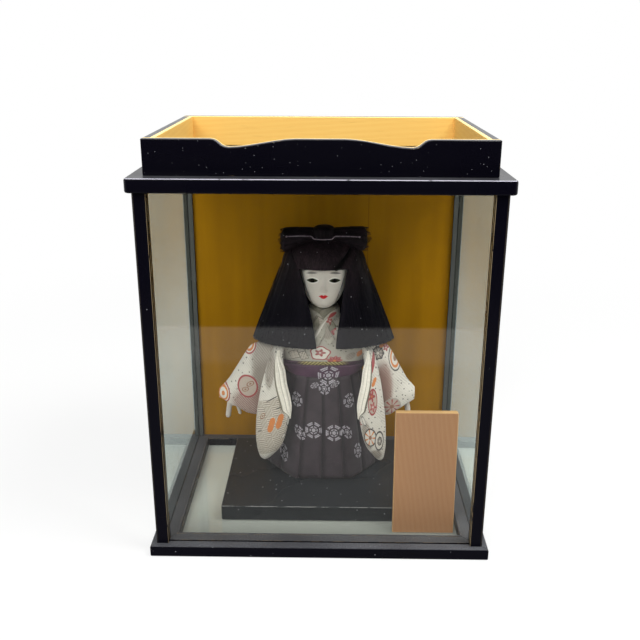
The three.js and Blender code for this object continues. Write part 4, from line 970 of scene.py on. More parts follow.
# Sash: a purple band wound round the waist, plaited with olive and gold cord in front.
# Only its upper edge shows above the hakama.
SASH_OLIVE = (0.09, 0.075, 0.02, 1)
SASH_GOLD = (0.46, 0.40, 0.16, 1)
SASH_PURPLE = (0.06, 0.028, 0.05, 1)
FRONT_DIP = 3
SIDE_DIP = 8


def band_dip(turned):
    """How far the bands are drawn down at the doll's front and sides."""
    return FRONT_DIP * max(0, -math.sin(turned * math.tau)) ** 2 + SIDE_DIP * math.cos(turned * math.tau) ** 2


def sash_place(u, v):
    turned = u + 0.25
    height = lerp(119.5 - 0.6 * SIDE_DIP * math.cos(turned * math.tau) ** 2, 139.1 - band_dip(turned), v)
    roll = 0.45 * math.sin(v * math.pi * 5) ** 2 - 0.5 * (2 * v - 1) ** 8
    return body_point(turned, height, 1.5 + roll), ((turned - FRONT) * 240, height)


sash_cloth, tree, shader = finish("sash_cloth")
cloth = cloth_place(tree)
folded = put(tree, "VectorMath", {0: cloth}, operation="ABSOLUTE").outputs[0]
plait = put(tree, "TexWave", {"Vector": folded, "Scale": 0.2, "Distortion": 0.4}, bands_direction="DIAGONAL")
plait = plait.outputs["Fac"]
aside = calc(tree, "ABSOLUTE", axes_of(tree, cloth)["X"])
cord = mixed(tree, plait, SASH_OLIVE, SASH_GOLD)
wound = mixed(tree, ramped(tree, aside, 13, 26), cord, SASH_PURPLE)
coated(tree, shader, wound, ramped(tree, plait, 0, 1, 0.65, 0.4))
bumped(tree, shader, plait, 0.6, 0.4 * MM)
sash = laid("obi_sash_cord", 150, 24, sash_place, sash_cloth, closed=True)
thicken(sash, 1.0)
worn_by_doll(sash, "obi_sash")

# Hakama: stiff purple-black silk, pressed into knife pleats under a stitched waistband.
# Each pleat turns back under the one before it; pale roundels are woven into the ground.
HAKAMA = (0.050, 0.038, 0.047, 1)
HAKAMA_SHADE = (0.030, 0.023, 0.030, 1)
BAND = (0.085, 0.038, 0.074, 1)
BAND_SHADE = (0.05, 0.024, 0.046, 1)
ROUNDEL = (0.45, 0.43, 0.48, 1)
PLEAT_DARK = (0.010, 0.008, 0.011, 1)
PLEAT_RUBBED = (0.085, 0.070, 0.082, 1)
WAIST = 118.5
BAND_TOP = 135.5
BAND_OUT = 3.9
# Middle, half width and half height of each roundel on the front
ROUNDELS = [
    (5.2, 121.2, 11, 10.5), (-9.9, 58.2, 9.4, 9.8), (12.4, 55.1, 9.4, 9.8), (-25, 54.5, 5, 9.4),
    (27, 55, 4.6, 9.4), (-30, 91, 8, 8.6), (30, 90, 8, 8.6), (-52, 23.5, 9.5, 11), (45, 28.6, 7.5, 10),
    (1.5, 106, 6, 7), (-9, 109.5, 5, 3), (13, 110.5, 5.5, 3), (-72, 66, 9, 9.4), (72, 66, 9, 9.4),
]


def roundel_cloth(name, colour, shade, roundels, pleated=False):
    """Dark silk with pale woven roundels; pleats carry a painted shadow where they come out and a painted
    highlight at their edge.
    """
    material, tree, shader = finish(name)
    cloth = cloth_place(tree)
    threads = placed(tree, weave, Cloth=cloth, Threads=1.4)[0]
    broken = ramped(tree, mottle(tree, cloth, 0.9, 2), 0.36, 0.5)
    cloud = ramped(tree, mottle(tree, cloth, 0.06, 2), 0.35, 0.7, 0, 0.7)
    tone = calc(tree, "MULTIPLY_ADD", threads, 0.1, cloud)
    ground = mixed(tree, tone, colour, shade)
    if pleated:
        on = axes_of(tree, cloth_place(tree, "pleat"))["X"]
        # Painted shadow under the pleat before, and a painted highlight along the pressed edge.
        ground = mixed(tree, ramped(tree, on, 0.02, 0.22, 0.75, 0), ground, PLEAT_DARK)
        ground = mixed(tree, ramped(tree, on, 0.9, 1.0, 0, 0.5), ground, PLEAT_RUBBED)
    pale = None
    for x, y, wide, tall in roundels:
        place = figure_place(tree, cloth, (x, y), (wide, tall), 30)
        shape = {"Lobes": 6.0, "Depth": 0.06, "Rim": 0.12, "Rings": 3.0, "Spokes": 6.0}
        masks = placed(tree, round_figure, Place=place, **shape)
        lines = calc(tree, "MULTIPLY", calc(tree, "MAXIMUM", masks["Rim"], masks["Ring"]),
                     calc(tree, "SUBTRACT", 1, masks["Spoke"]))
        lines = calc(tree, "MAXIMUM", lines, masks["Core"])
        pale = lines if pale is None else calc(tree, "MAXIMUM", pale, lines)
    pale = calc(tree, "MULTIPLY", pale, calc(tree, "MULTIPLY_ADD", broken, 0.75, 0.25))
    coated(tree, shader, mixed(tree, pale, ground, ROUNDEL), ramped(tree, pale, 0, 1, 0.6, 0.45))
    shader.inputs["Sheen Weight"].default_value = 0.1
    bumped(tree, shader, calc(tree, "MULTIPLY_ADD", threads, 0.2, pale), 0.15, 0.1 * MM)
    return material


def band_place(u, v):
    turned = u + 0.25
    foot = WAIST - 0.5 - 0.7 * SIDE_DIP * math.cos(turned * math.tau) ** 2
    height = lerp(foot, BAND_TOP - band_dip(turned), v)
    stitched = -0.35 * (eased(0.10, 0.06, v) + eased(0.90, 0.94, v))
    tuck = 0.25 * ripple(turned * 30, height * 0.1, 5.0)
    point = body_point(turned, height, BAND_OUT + stitched + tuck)
    across = (turned - FRONT) * 2 * math.pi * 40
    return point, (across, height)


band_cloth = roundel_cloth("band_cloth", BAND, BAND_SHADE, ROUNDELS[:1])
band = laid("hakama_waistband_cloth", 140, 18, band_place, band_cloth, closed=True)
thicken(band, 1.4)
worn_by_doll(band, "hakama_waistband")

HEM_FRONT_HALF = 29
HEM_SIDE_HALF = 65
HEM_FRONT = -40
HEM_SIDE = 4
HEM_BACK = 42
HEM_LIFT = 0.4
PLEATS = 8
PLEAT_UNDER = 0.32
PLEAT_LAYER = 1.5
PLEAT_STEPS = 12


def hem_outline(turned):
    """The hem seen from above: flat in front, drawn round at the sides and back."""
    c = math.cos(turned * math.tau)
    s = math.sin(turned * math.tau)
    if s > 0:
        bent = math.copysign(abs(c) ** 0.8, c)
        return Vector((HEM_SIDE_HALF * bent, lerp(HEM_SIDE, HEM_BACK, s ** 0.8), 0))
    flat = HEM_FRONT_HALF / HEM_SIDE_HALF
    back = max(0, (abs(c) - flat) / (1 - flat))
    return Vector((HEM_SIDE_HALF * c, lerp(HEM_FRONT, HEM_SIDE, back ** 1.15), 0))


def pleat_fold(step):
    """Goes along one knife pleat: how far on it is, and how deep it lies under the face."""
    path = step / PLEAT_STEPS * (1 + 2 * PLEAT_UNDER)
    if path < 1 + PLEAT_UNDER:
        return path - PLEAT_UNDER, 2 * eased(0.12, -PLEAT_UNDER, path - PLEAT_UNDER)
    return 1 - (path - 1 - PLEAT_UNDER), 1 + eased(0.5, 1, (path - 1 - PLEAT_UNDER) / PLEAT_UNDER)


def hakama_place(start, end, first):
    columns = PLEATS * PLEAT_STEPS

    def place(u, v):
        column = round(u * columns)
        pleat = min(column // PLEAT_STEPS, PLEATS - 1)
        on, deep = pleat_fold(column - pleat * PLEAT_STEPS)
        share = (pleat + on) / PLEATS
        turned = lerp(start, end, min(max(share, 0.0), 1.0))
        spread = 1 - v ** 1.2
        height = lerp(HEM_LIFT, WAIST - 0.3, v)
        top = body_point(turned, WAIST, BAND_OUT - 1.4)
        envelope = top.lerp(hem_outline(turned), spread)
        outward = Vector((math.cos(turned * math.tau), math.sin(turned * math.tau), 0))
        sway = 0.8 * spread * ripple(turned * 20, height * 0.02, first)
        inward = deep * PLEAT_LAYER * (0.45 + 0.55 * spread)
        point = envelope + outward * (1.2 + sway - inward)
        point.z = height
        middle = hem_outline(FRONT if first else 0.25).y * spread
        depth = abs(point.y - middle + 30 * (1 - spread) * (1 if first else -1))
        wrapped = point.x + math.copysign(max(0, depth - 4) * 0.8, point.x)
        return point, (wrapped, height), (on, deep)
    return place


hakama_cloth = roundel_cloth("hakama_cloth", HAKAMA, HAKAMA_SHADE, ROUNDELS, pleated=True)
for name, start, end, first in [("hakama_front", 0.5, 1.0, 1.0), ("hakama_back", 0.0, 0.5, 0.0)]:
    panel = laid(name + "_cloth", PLEATS * PLEAT_STEPS, 24, hakama_place(start, end, first), hakama_cloth,
                 maps=("cloth", "pleat"))
    thicken(panel, 0.45, offset=0)
    worn_by_doll(panel, name)

# Sleeves: deep bags of the same brocade lined with ivory silk, slit below the cuff for the hand,
# and the long hanging part of each sleeve brought forward over the hakama.
SLEEVE_START = 27
# Share of the reach, upper edge y and z, lower edge y and z, half thickness
SLEEVE_ROWS = [
    (0, -2, 174.5, -4, 160, 8), (0.17, -3, 167.5, -8, 147, 10), (0.3, -4, 158.5, -19, 110, 10),
    (0.44, -5.5, 151.2, -25, 76, 9.5), (0.6, -8, 145.5, -26, 72.5, 9), (0.75, -9, 125.5, -22, 77.5, 8),
    (0.88, -10, 107.5, -17, 82, 7), (0.97, -11, 99, -13, 85, 6), (1, -11.5, 96, -12, 86.5, 4),
]
# Height, middle x on the left side, middle y, half width, half thickness
DROP_ROWS = [
    (153, -46, -16, 5, 7), (140, -50, -30, 8, 8), (120, -52, -43, 12, 6.5), (92, -52, -47.5, 17.5, 6),
    (65, -55, -48, 17, 6.5), (45, -58, -47, 13.5, 6), (31, -62, -45, 6.5, 4), (26.5, -63, -44, 2, 1.6),
]
# Side, reach, lift of the cuff, width of the drop and sag of the upper edge
SLEEVES = [("left", -1, 88, 0, 1.0, 0), ("right", 1, 74, 10, 0.8, 6)]


def sleeve_place(side, reach, lift, sag):
    def place(u, v):
        share, top_y, top_z, low_y, low_z, half = flow(SLEEVE_ROWS, lerp(0.04, 1, v))
        top = Vector((0, top_y, top_z + lift * share - sag * eased(0.33, 0.66, share)))
        low = Vector((0, low_y, low_z))
        long = (top - low) / 2
        thick = Vector((0, long.z, -long.y)).normalized() * half
        angle = (u + 0.5) * math.tau
        lens = math.copysign(abs(math.sin(angle)) ** 1.25, math.sin(angle))
        point = (top + low) / 2 + long * math.cos(angle) + thick * lens
        point.x = side * (SLEEVE_START + reach * share)
        fold = 1.5 * ripple(point.x * 0.06 + point.z * 0.03, point.z * 0.012, 3.0 + side)
        fold += 0.6 * ripple(point.x * 0.16, point.z * 0.05, 7.0 + side)
        point += thick.normalized() * fold * math.copysign(abs(lens) ** 0.5, lens)
        parted = 2.2 * eased(0.5, 0.75, v) * eased(0.16, 0.0, min(u, 1 - u)) * (1 if u < 0.5 else -1)
        point -= thick.normalized() * parted
        return point, (point.x, point.z)
    return place


def drop_point(side, scale, angle, row, out):
    z, x, y, half, thick = row
    lens = math.copysign(abs(math.sin(angle)) ** 1.2, math.sin(angle))
    return Vector((-side * (x - (half * scale + out) * math.cos(angle)), y + (thick + out) * lens, z))


def drop_place(side, scale):
    def place(u, v):
        angle = math.pi + u * math.tau
        row = flow(DROP_ROWS, v)
        fold = 0.7 * ripple(math.cos(angle) * 2.4, v * 1.6, 11.0 + side) - 0.2
        fold += 0.35 * ripple(math.cos(angle) * 7, v * 6, 13.0 + side)
        point = drop_point(side, scale, angle, row, fold)
        return point, (point.x, point.z)
    return place


def lining_place(side, scale):
    def place(u, v):
        row = flow(DROP_ROWS, lerp(0.06, 0.5, v))
        inner = lerp(1.43, 1.02, eased(0, 0.45, v))
        outer = lerp(lerp(1.56, 1.3, v ** 1.5), inner + 0.1, eased(0.86, 1, v))
        angle = math.pi * lerp(inner, outer, u)
        roll = 0.8 + 0.8 * math.sin(u * math.pi) + 0.5 * math.sin(u * math.pi * 5) * eased(1, 0.8, v)
        point = drop_point(side, scale, angle, row, roll)
        return point, (point.x, point.z), (u, v)
    return place


# The shade figures here are painted shade on the sleeves and drops, darkest near the hair and the drops.
FIGURES_ON = {
    "left_sleeve": [
        ("grey_shade", -61, 128, 20, 40, 10), ("grey_shade", -62, 106, 22, 32, 0),
        ("russet_shade", -76, 86, 30, 22, 8), ("ring", -82, 105, 11.5, 12.5),
        ("curl", -84.5, 101.5, 4, 3.4, 20), ("curl", -79, 108, 4.6, 3.6, 30), ("arcs", -110, 93, 8, 12),
        ("arcs", -82, 148, 9, 10), ("russet_shade", -58, 100, 8, 30, 4),
    ],
    "left_drop": [
        ("basket", -57, 69, 20, 31, 14), ("orange_leaf", -54.8, 72.3, 9, 5.6, 74),
        ("orange_leaf", -45.8, 76.5, 9, 5.6, 74), ("curl", -64, 82, 4, 3, 60),
        ("ink_line", -53.6, 102, 7.3, 0.6, 30), ("ink_line", -45, 92.5, 5.5, 0.6, 17),
        ("ink_line", -67.5, 64, 2.6, 0.6, 20), ("ink_leaf", -36.6, 75, 6, 2.8, 80),
        ("ink_leaf", -42, 58, 3.4, 2, 60), ("ink_leaf", -57, 131, 11, 3, 85),
        ("grey_shade", -56, 130, 6, 22, -5),
    ],
    "right_sleeve": [
        ("russet_shade", 65, 101, 13, 38, -2), ("russet_shade", 62, 95, 13, 34, -2),
        ("target", 78, 134, 7, 13, 12), ("wheel", 75.5, 83, 10), ("grey_flower", 59, 141, 7.2),
        ("orange_leaf", 66, 150, 6, 4, 30), ("pink_blossom", 68, 146, 3.5),
    ],
    "right_drop": [
        ("grey_shade", 48, 60, 6, 22, 10), ("ring", 52.8, 99.5, 5, 15), ("blossom", 51.8, 106, 3.6, 7),
        ("pink_blossom", 53.2, 94, 3.4, 6), ("dark_wheel", 51.3, 58, 6.6, 11.5),
        ("dark_ring", 61, 54, 4.8, 12.5), ("grey_flower", 61.5, 54, 2.6, 6), ("blossom", 39.5, 72, 3),
        ("ink_leaf", 44, 77, 6, 2.6, 110), ("red_field", 53, 139, 1.8, 10, -8),
        ("orange_leaf", 54, 121, 5, 3, 70), ("grey_shade", 58, 36, 8, 8),
    ],
}
for name, side, reach, lift, scale, sag in SLEEVES:
    sleeve_cloth = brocade(name + "_sleeve_brocade", FIGURES_ON[name + "_sleeve"])
    drop_cloth = brocade(name + "_drop_brocade", FIGURES_ON[name + "_drop"])
    sleeve = laid(name + "_sleeve_cloth", 72, 64, sleeve_place(side, reach, lift, sag), sleeve_cloth,
                  lining_silk)
    thicken(sleeve, 0.7, lined=True)
    worn_by_doll(sleeve, name + "_sleeve")
    drop = laid(name + "_sleeve_drop", 56, 72, drop_place(side, scale), drop_cloth, lining_silk)
    thicken(drop, 0.7, lined=True)
    worn_by_doll(drop, name + "_sleeve")
    lining = laid(name + "_sleeve_lining_silk", 28, 48, lining_place(side, scale), creased_silk,
                  maps=("cloth", "crease"))
    thicken(lining, 0.5, offset=0)
    worn_by_doll(lining, name + "_sleeve_lining")

# Hands: carved wood under many coats of ground shell, rubbed to a soft white skin.
# Each is pushed on one end of the wire.
SHELL_WHITE = (0.55, 0.515, 0.47, 1)
SHELL_SHADE = (0.50, 0.47, 0.425, 1)
CARVING_STEP = 0.5 * MM
RUBBINGS = 6


def shell_skin(tree, shader):
    """Ground-shell paint: nearly even, with the brush's faint marks and a low sheen."""
    place = object_place(tree)
    cloud = mottle(tree, place, 60, 4)
    tree.links.new(ramped(tree, cloud, 0.3, 0.7, 0.38, 0.48), shader.inputs["Roughness"])
    shader.inputs["Subsurface Weight"].default_value = 0.08
    shader.inputs["Subsurface Radius"].default_value = (0.002, 0.001, 0.0007)
    bumped(tree, shader, mottle(tree, place, 1400, 3), 0.06, 0.1 * MM)
    return mixed(tree, ramped(tree, cloud, 0.4, 0.75, 0, 0.6), SHELL_WHITE, SHELL_SHADE)


shell_white, tree, shader = finish("shell_white")
tree.links.new(shell_skin(tree, shader), shader.inputs["Base Color"])
for side in ("left", "right"):
    hand = piece_from(cad_form(side + "_hand"), side + "_hand_carved", shell_white)
    skin = hand.modifiers.new("carved_skin", "REMESH")
    skin.mode = "VOXEL"
    skin.voxel_size = CARVING_STEP
    skin.use_smooth_shade = True
    rub = hand.modifiers.new("rubbed", "SMOOTH")
    rub.iterations = RUBBINGS
    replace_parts(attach(hand, "doll"), side + "_hand")

# Head and neck: carved wood under the same shell paint, polished; the eyes are dark glass set in slits
# with pale lids, and the brows and lips are painted on.
# Height, half width, front and back of the head
HEAD_LEVELS = [
    (195, 3, -24, -15), (196.4, 8, -27, -9), (202, 15.6, -30, 4), (212, 21, -31, 14), (224, 24.2, -30.6, 22),
    (236, 25.4, -29.6, 25), (248, 21.6, -26, 23.5), (257, 15, -18, 16), (261, 5, -7, 5),
]
SHELL_SIDES = (0.88, 0.85, 0.79, 1)
LID_PALE = (0.74, 0.73, 0.68, 1)
BROW_INK = (0.075, 0.07, 0.07, 1)
LIP_RED = (0.50, 0.012, 0.02, 1)
LIP_DEEP = (0.14, 0.004, 0.006, 1)
EYE_GLASS = (0.022, 0.024, 0.011, 1)
PUPIL_DARK = (0.004, 0.004, 0.003, 1)
EYE_X = 11.6
EYE_Z = 225.9
EYE_TILT = -0.05
BROW_Z = 233.7
BROW_DROOP = 0.12
MOUTH_Z = 209.4
HEAD_SQUARE = 0.82
HEAD_FLAT = 0.72
NECK_RADIUS = 8.5
NECK_Y = -6
NECK_FOOT = 178
NECK_TOP = 205
BEHIND = 1000


def hump(x, z, at_x, at_z, wide, tall):
    return math.exp(-((x - at_x) / wide) ** 2 - ((z - at_z) / tall) ** 2)


def face_relief(x, z):
    """How far the carved face stands out from the plain head, in mm."""
    aside = abs(x)
    nose = 1.8 * hump(x, z, 0, 222, 2.0, 6.5) + 2.9 * hump(x, z, 0, 216.8, 2.4, 2.8)
    nose += 0.7 * hump(aside, z, 2.6, 215.4, 1.5, 1.4) - 0.8 * hump(x, z, 0, 212.8, 2.2, 1.1)
    eyes = 0.5 * hump(aside, z, EYE_X, EYE_Z, 5, 2.4) - 0.9 * hump(aside, z, EYE_X, EYE_Z + 1.6, 6.5, 3.6)
    lips = 0.9 * hump(x, z, 0, MOUTH_Z + 1.1, 3.4, 1.1) + 0.9 * hump(x, z, 0, MOUTH_Z - 1.4, 2.8, 1.2)
    lips -= 0.5 * hump(x, z, 0, MOUTH_Z, 4, 0.5)
    return nose + eyes + lips + 1.0 * hump(x, z, 0, 201.5, 6, 3.2) + 0.6 * hump(aside, z, 13, 214, 6, 6)


def head_place(u, v):
    z, half, front, back = flow(HEAD_LEVELS, v)
    angle = (u + 0.25) * math.tau
    x = half * math.copysign(abs(math.cos(angle)) ** HEAD_SQUARE, math.cos(angle))
    forward = max(0, -math.sin(angle)) ** 0.5
    turned = math.copysign(abs(math.sin(angle)) ** HEAD_FLAT, math.sin(angle))
    y = lerp(front, back, 0.5 + 0.5 * turned) - forward * face_relief(x, z)
    return (x, y, z), (x if forward else x + math.copysign(BEHIND, x), z)


def neck_place(u, v):
    angle = u * math.tau
    radius = NECK_RADIUS - 0.5 * math.sin(v * math.pi)
    height = lerp(NECK_FOOT, NECK_TOP, v)
    return (radius * math.cos(angle), NECK_Y + radius * math.sin(angle), height), (BEHIND, BEHIND)


def almond(tree, along, up, half, above, below, soft=0.25):
    """A painted slit this long to each side of its middle, this high above and below."""
    share = calc(tree, "DIVIDE", along, half)
    arch = calc(tree, "SUBTRACT", 1, calc(tree, "MULTIPLY", share, share))
    under = calc(tree, "SUBTRACT", calc(tree, "MULTIPLY", arch, above), up)
    beyond = calc(tree, "MULTIPLY_ADD", arch, below, up)
    return calc(tree, "MULTIPLY", ramped(tree, under, -soft, soft), ramped(tree, beyond, -soft, soft))


face_paint, tree, shader = finish("painted_face")
skin = shell_skin(tree, shader)
axes = axes_of(tree, cloth_place(tree))
aside = calc(tree, "ABSOLUTE", axes["X"])
# Painted light: the face's sides are painted paler, against the shade the hair casts there.
beside = calc(tree, "MULTIPLY", ramped(tree, aside, 12, 20, 0, 0.8), ramped(tree, aside, 100, 200, 1, 0))
skin = mixed(tree, beside, skin, SHELL_SIDES)
from_eye = calc(tree, "SUBTRACT", aside, EYE_X)
eye_line = calc(tree, "SUBTRACT", axes["Y"], calc(tree, "MULTIPLY_ADD", from_eye, EYE_TILT, EYE_Z))
lids = almond(tree, from_eye, eye_line, 7.4, 3.9, 3.3, 0.6)
slit = almond(tree, from_eye, eye_line, 6.2, 2.4, 2.0, 0.2)
pupil = almond(tree, from_eye, eye_line, 2.3, 2.6, 2.6, 0.4)
brow_line = calc(tree, "MULTIPLY_ADD", from_eye, BROW_DROOP, calc(tree, "SUBTRACT", axes["Y"], BROW_Z))
brow = almond(tree, calc(tree, "SUBTRACT", aside, EYE_X + 0.6), brow_line, 6.0, 1.6, 0.6, 0.6)
lip_line = calc(tree, "SUBTRACT", axes["Y"], MOUTH_Z)
bow = calc(tree, "MULTIPLY", ramped(tree, aside, 0, 1.3, 1, 0), 0.9)
upper_lip = almond(tree, axes["X"], calc(tree, "ADD", lip_line, bow), 5.2, 2.0, 0.7)
lower_lip = almond(tree, axes["X"], lip_line, 4.2, 0.2, 2.3)
lips = calc(tree, "MAXIMUM", upper_lip, lower_lip)
lip_parting = almond(tree, axes["X"], lip_line, 3.8, 0.25, 0.25, 0.15)
skin = mixed(tree, calc(tree, "MULTIPLY", lids, 0.8), skin, LID_PALE)
skin = mixed(tree, calc(tree, "MULTIPLY", brow, 0.85), skin, BROW_INK)
skin = mixed(tree, lips, skin, LIP_RED)
skin = mixed(tree, calc(tree, "MULTIPLY", lip_parting, 0.7), skin, LIP_DEEP)
skin = mixed(tree, slit, skin, EYE_GLASS)
skin = mixed(tree, calc(tree, "MULTIPLY", slit, pupil), skin, PUPIL_DARK)
polish = calc(tree, "MAXIMUM", slit, calc(tree, "MULTIPLY", lips, 0.5))
coated(tree, shader, skin, ramped(tree, polish, 0, 1, 0.42, 0.08))
for name, columns, rows, place in [
    ("head_carved", 220, 130, head_place),
    ("neck_carved", 48, 12, neck_place),
]:
    carving = laid(name, columns, rows, place, face_paint, closed=True)
    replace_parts(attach(carving, "doll_head"), "head")

# Hair: black silk floss in glued hanks, combed straight, with a level fringe and three falls cut at one hem.
# Two stiff loops and a bound knob stand on the crown, and loose threads lie over all of it.
HAIR_HEM = 154.6
FRINGE = 238.3
CROWN = 266
HAIR_TONES = ((0.0058, 0.0034, 0.0052, 1), (0.0180, 0.0104, 0.0150, 1))
CROWN_TONES = ((0.0098, 0.0056, 0.0076, 1), (0.0290, 0.0168, 0.0225, 1))
HAIR_NIGHT = (0.0022, 0.0020, 0.0062, 1)
PARTING_DARK = (0.0004, 0.0003, 0.0004, 1)
HAIR_WALL = 4
GOLDEN = 0.6180339887


def hair_finish(name, along, tones=HAIR_TONES, parted=False):
    """Combed floss: fine streaks along one axis, warmer above, with a few grains of dust; a parted one has
    painted shade in its parting.
    """
    material, tree, shader = finish(name)
    place = object_place(tree)
    stretch = [0.05 if axis == along else 1 for axis in "XYZ"]
    combed = put(tree, "Mapping", {"Vector": place, "Scale": stretch}).outputs[0]
    streak = mottle(tree, combed, 900, 3)
    hank = mottle(tree, combed, 140, 2)
    specks = placed(tree, dust_specks, Place=place, Cells=170.0, Amount=0.34)[0]
    tone = weighed(tree, 0.6, streak, hank)
    colour = mixed(tree, ramped(tree, tone, 0.4, 0.65), *tones)
    height = axes_of(tree, place)["Z"]
    colour = mixed(tree, ramped(tree, height, 0.21, 0.265, 0.85, 0), colour, HAIR_NIGHT)
    if parted:
        # Painted shade in the parting groove.
        deep = axes_of(tree, cloth_place(tree, "parting"))["X"]
        colour = mixed(tree, ramped(tree, deep, 0.1, 0.7), colour, PARTING_DARK)
    colour = mixed(tree, calc(tree, "MULTIPLY", specks, 0.9), colour, DUST_COLOUR)
    coated(tree, shader, colour, ramped(tree, tone, 0.35, 0.7, 0.62, 0.42))
    shader.inputs["Specular IOR Level"].default_value = 0.1
    bumped(tree, shader, tone, 0.35, 0.4 * MM)
    return material


hair_down = hair_finish("combed_hair", "Z")
hair_across = hair_finish("looped_hair", "X")
hair_parted = hair_finish("parted_hair", "Z", CROWN_TONES, parted=True)
HEM_HALF = Vector((77, 43))
FRINGE_HALF = Vector((45.4, 36))
DOME_SLOPE = 0.2


def hair_point(turned, height, inward):
    """A point on the falls between the hem and the fringe."""
    half = HEM_HALF.lerp(FRINGE_HALF, (height - HAIR_HEM) / (FRINGE - HAIR_HEM))
    angle = turned * math.tau
    return Vector(((half.x - inward) * math.cos(angle), (half.y - inward) * math.sin(angle), height))


def dome_draw(bend):
    """What is left of the dome's width at this bend."""
    return math.cos(bend * math.pi / 2 * 0.995) ** 0.72


def dome_point(turned, bend, inward):
    """A point over the crown, where the falls' slope bends on into the dome; bend 1 is its top."""
    rise = math.sin(bend * math.pi / 2)
    slope = (HEM_HALF - FRINGE_HALF) / (FRINGE - HAIR_HEM) * (CROWN - FRINGE)
    half = (FRINGE_HALF - Vector((inward, inward))) * dome_draw(bend) - DOME_SLOPE * slope * rise * (1 - rise)
    angle = turned * math.tau
    return Vector((half.x * math.cos(angle), half.y * math.sin(angle), lerp(FRINGE, CROWN - inward, rise)))


def combed_out(turned, along, seed):
    """How far the hanks stand out at this turn, which hardly changes along a hank."""
    hanks = 0.55 * ripple(turned * 55, along * 1.3, seed)
    return hanks + 0.22 * ripple(turned * 170, along * 0.9, seed + 3)


OPENING_HEM = {-1: 7.2, 1: 14}
OPENING_TOP = 26.5
OPENING_AT_LOOP = 0.2
FALL_SHARE = 0.64
FALL_BEND = 0.7


def fall_opening(v, side):
    """How far from the front a fall's inner edge lies, in turns: past the face, then aside under the loop."""
    if v > FALL_SHARE:
        beside = fall_opening(FALL_SHARE, side)
        return lerp(beside, OPENING_AT_LOOP, eased(0, 0.9, (v - FALL_SHARE) / (1 - FALL_SHARE)))
    share = max(v, 0) / FALL_SHARE
    half = lerp(OPENING_HEM[side], OPENING_TOP, share ** 1.3)
    return math.asin(half / lerp(HEM_HALF.x, FRINGE_HALF.x, share)) / math.tau


PARTING_FOOT = 13.5
PARTING_TOP = 36
PARTING_WIDTH = 0.013
PARTING_DEPTH = 3.6


def parting(turned, bend):
    """How deep the front hair is parted here, 0 to 1: one slanting groove on the right."""
    rise = math.sin(bend * math.pi / 2)
    share = lerp(PARTING_FOOT, PARTING_TOP, rise) / (FRINGE_HALF.x * dome_draw(bend))
    if share > 1:
        return 0
    at = 1 - math.acos(share) / math.tau
    return math.exp(-((turned - at) / PARTING_WIDTH) ** 2)


def crown_place(u, v):
    turned = u + 0.25
    uneven = 0.5 * ripple(turned * 190, 0, 4.0) * (1 - v) ** 4
    deep = parting(turned, v)
    inward = 1.3 - combed_out(turned, v, 21.0) * (1 - v) + PARTING_DEPTH * deep * eased(-0.05, 0.2, v)
    point = dome_point(turned, v, inward)
    point.z += uneven
    return point, (turned * 250, point.z), (deep, 0)


def fall_place(start, end, seed):
    def place(u, v):
        turned = lerp(start(v), end(v), u)
        round_edge = 1.4 * (eased(0.04, 0, u) + eased(0.96, 1, u))
        inward = 0.8 + round_edge - combed_out(turned, v, seed)
        if v > FALL_SHARE:
            bend = (v - FALL_SHARE) / (1 - FALL_SHARE) * FALL_BEND
            point = dome_point(turned, bend, inward + 2.2 * eased(0.9, 1, v))
        else:
            share = v / FALL_SHARE
            ragged = 0.9 * ripple(turned * 210, 0, seed) * (1 - share) ** 6
            point = hair_point(turned, lerp(HAIR_HEM, FRINGE, share) + ragged, inward)
        return point, (turned * 300, point.z)
    return place


# Reach, y, height, half depth and half height along a loop
LOOP_ROWS = [
    (3, -5, 269, 5.4, 5), (9, -5.2, 269.3, 6.6, 7), (18, -5.8, 268, 9, 9.2), (30, -6.5, 266, 10, 11.3),
    (39, -7.2, 264.5, 9.5, 12.6), (45, -8, 263.6, 8.5, 11.8),
]
RIGHT_LOOP_LIFT = 2.6


def loop_lift(side, share):
    """The right loop stands up a little towards its end."""
    return max(0, side) * RIGHT_LOOP_LIFT * share ** 2


def loop_point(side, along, angle, share, out):
    """A point at this share of a loop's thickness, and this far out along its reach."""
    x, y, z, deep, tall = flow(LOOP_ROWS, along)
    z += loop_lift(side, along)
    return side * (x + out), y + deep * share * math.cos(angle), z + tall * share * math.sin(angle)


def loop_place(side):
    def place(u, v):
        angle = u * math.tau
        frayed = 1.2 * eased(0.75, 1, v) * ripple(math.cos(angle) * 5, math.sin(angle) * 5, 31.0 + side)
        comb = 1 + 0.05 * ripple(math.cos(angle) * 4, math.sin(angle) * 4, v + 33.0)
        comb *= 1 - 0.8 * max(0, (v - 0.86) / 0.14) ** 2
        return loop_point(side, v, angle, comb, frayed), (u, v)
    return place


# Radius and height of the knob's side
KNOB = [(11.2, 262), (11.8, 268), (12, 272.5), (11.4, 275.8), (8.6, 278), (4.8, 279), (0.05, 279.2)]


def knob_place(u, v):
    radius, height = flow(KNOB, v)
    angle = u * math.tau
    radius *= 1 + 0.05 * ripple(math.cos(angle) * 9, v * 0.6, 41.0)
    return (radius * math.cos(angle), -5 + radius * math.sin(angle), height), (u, v)


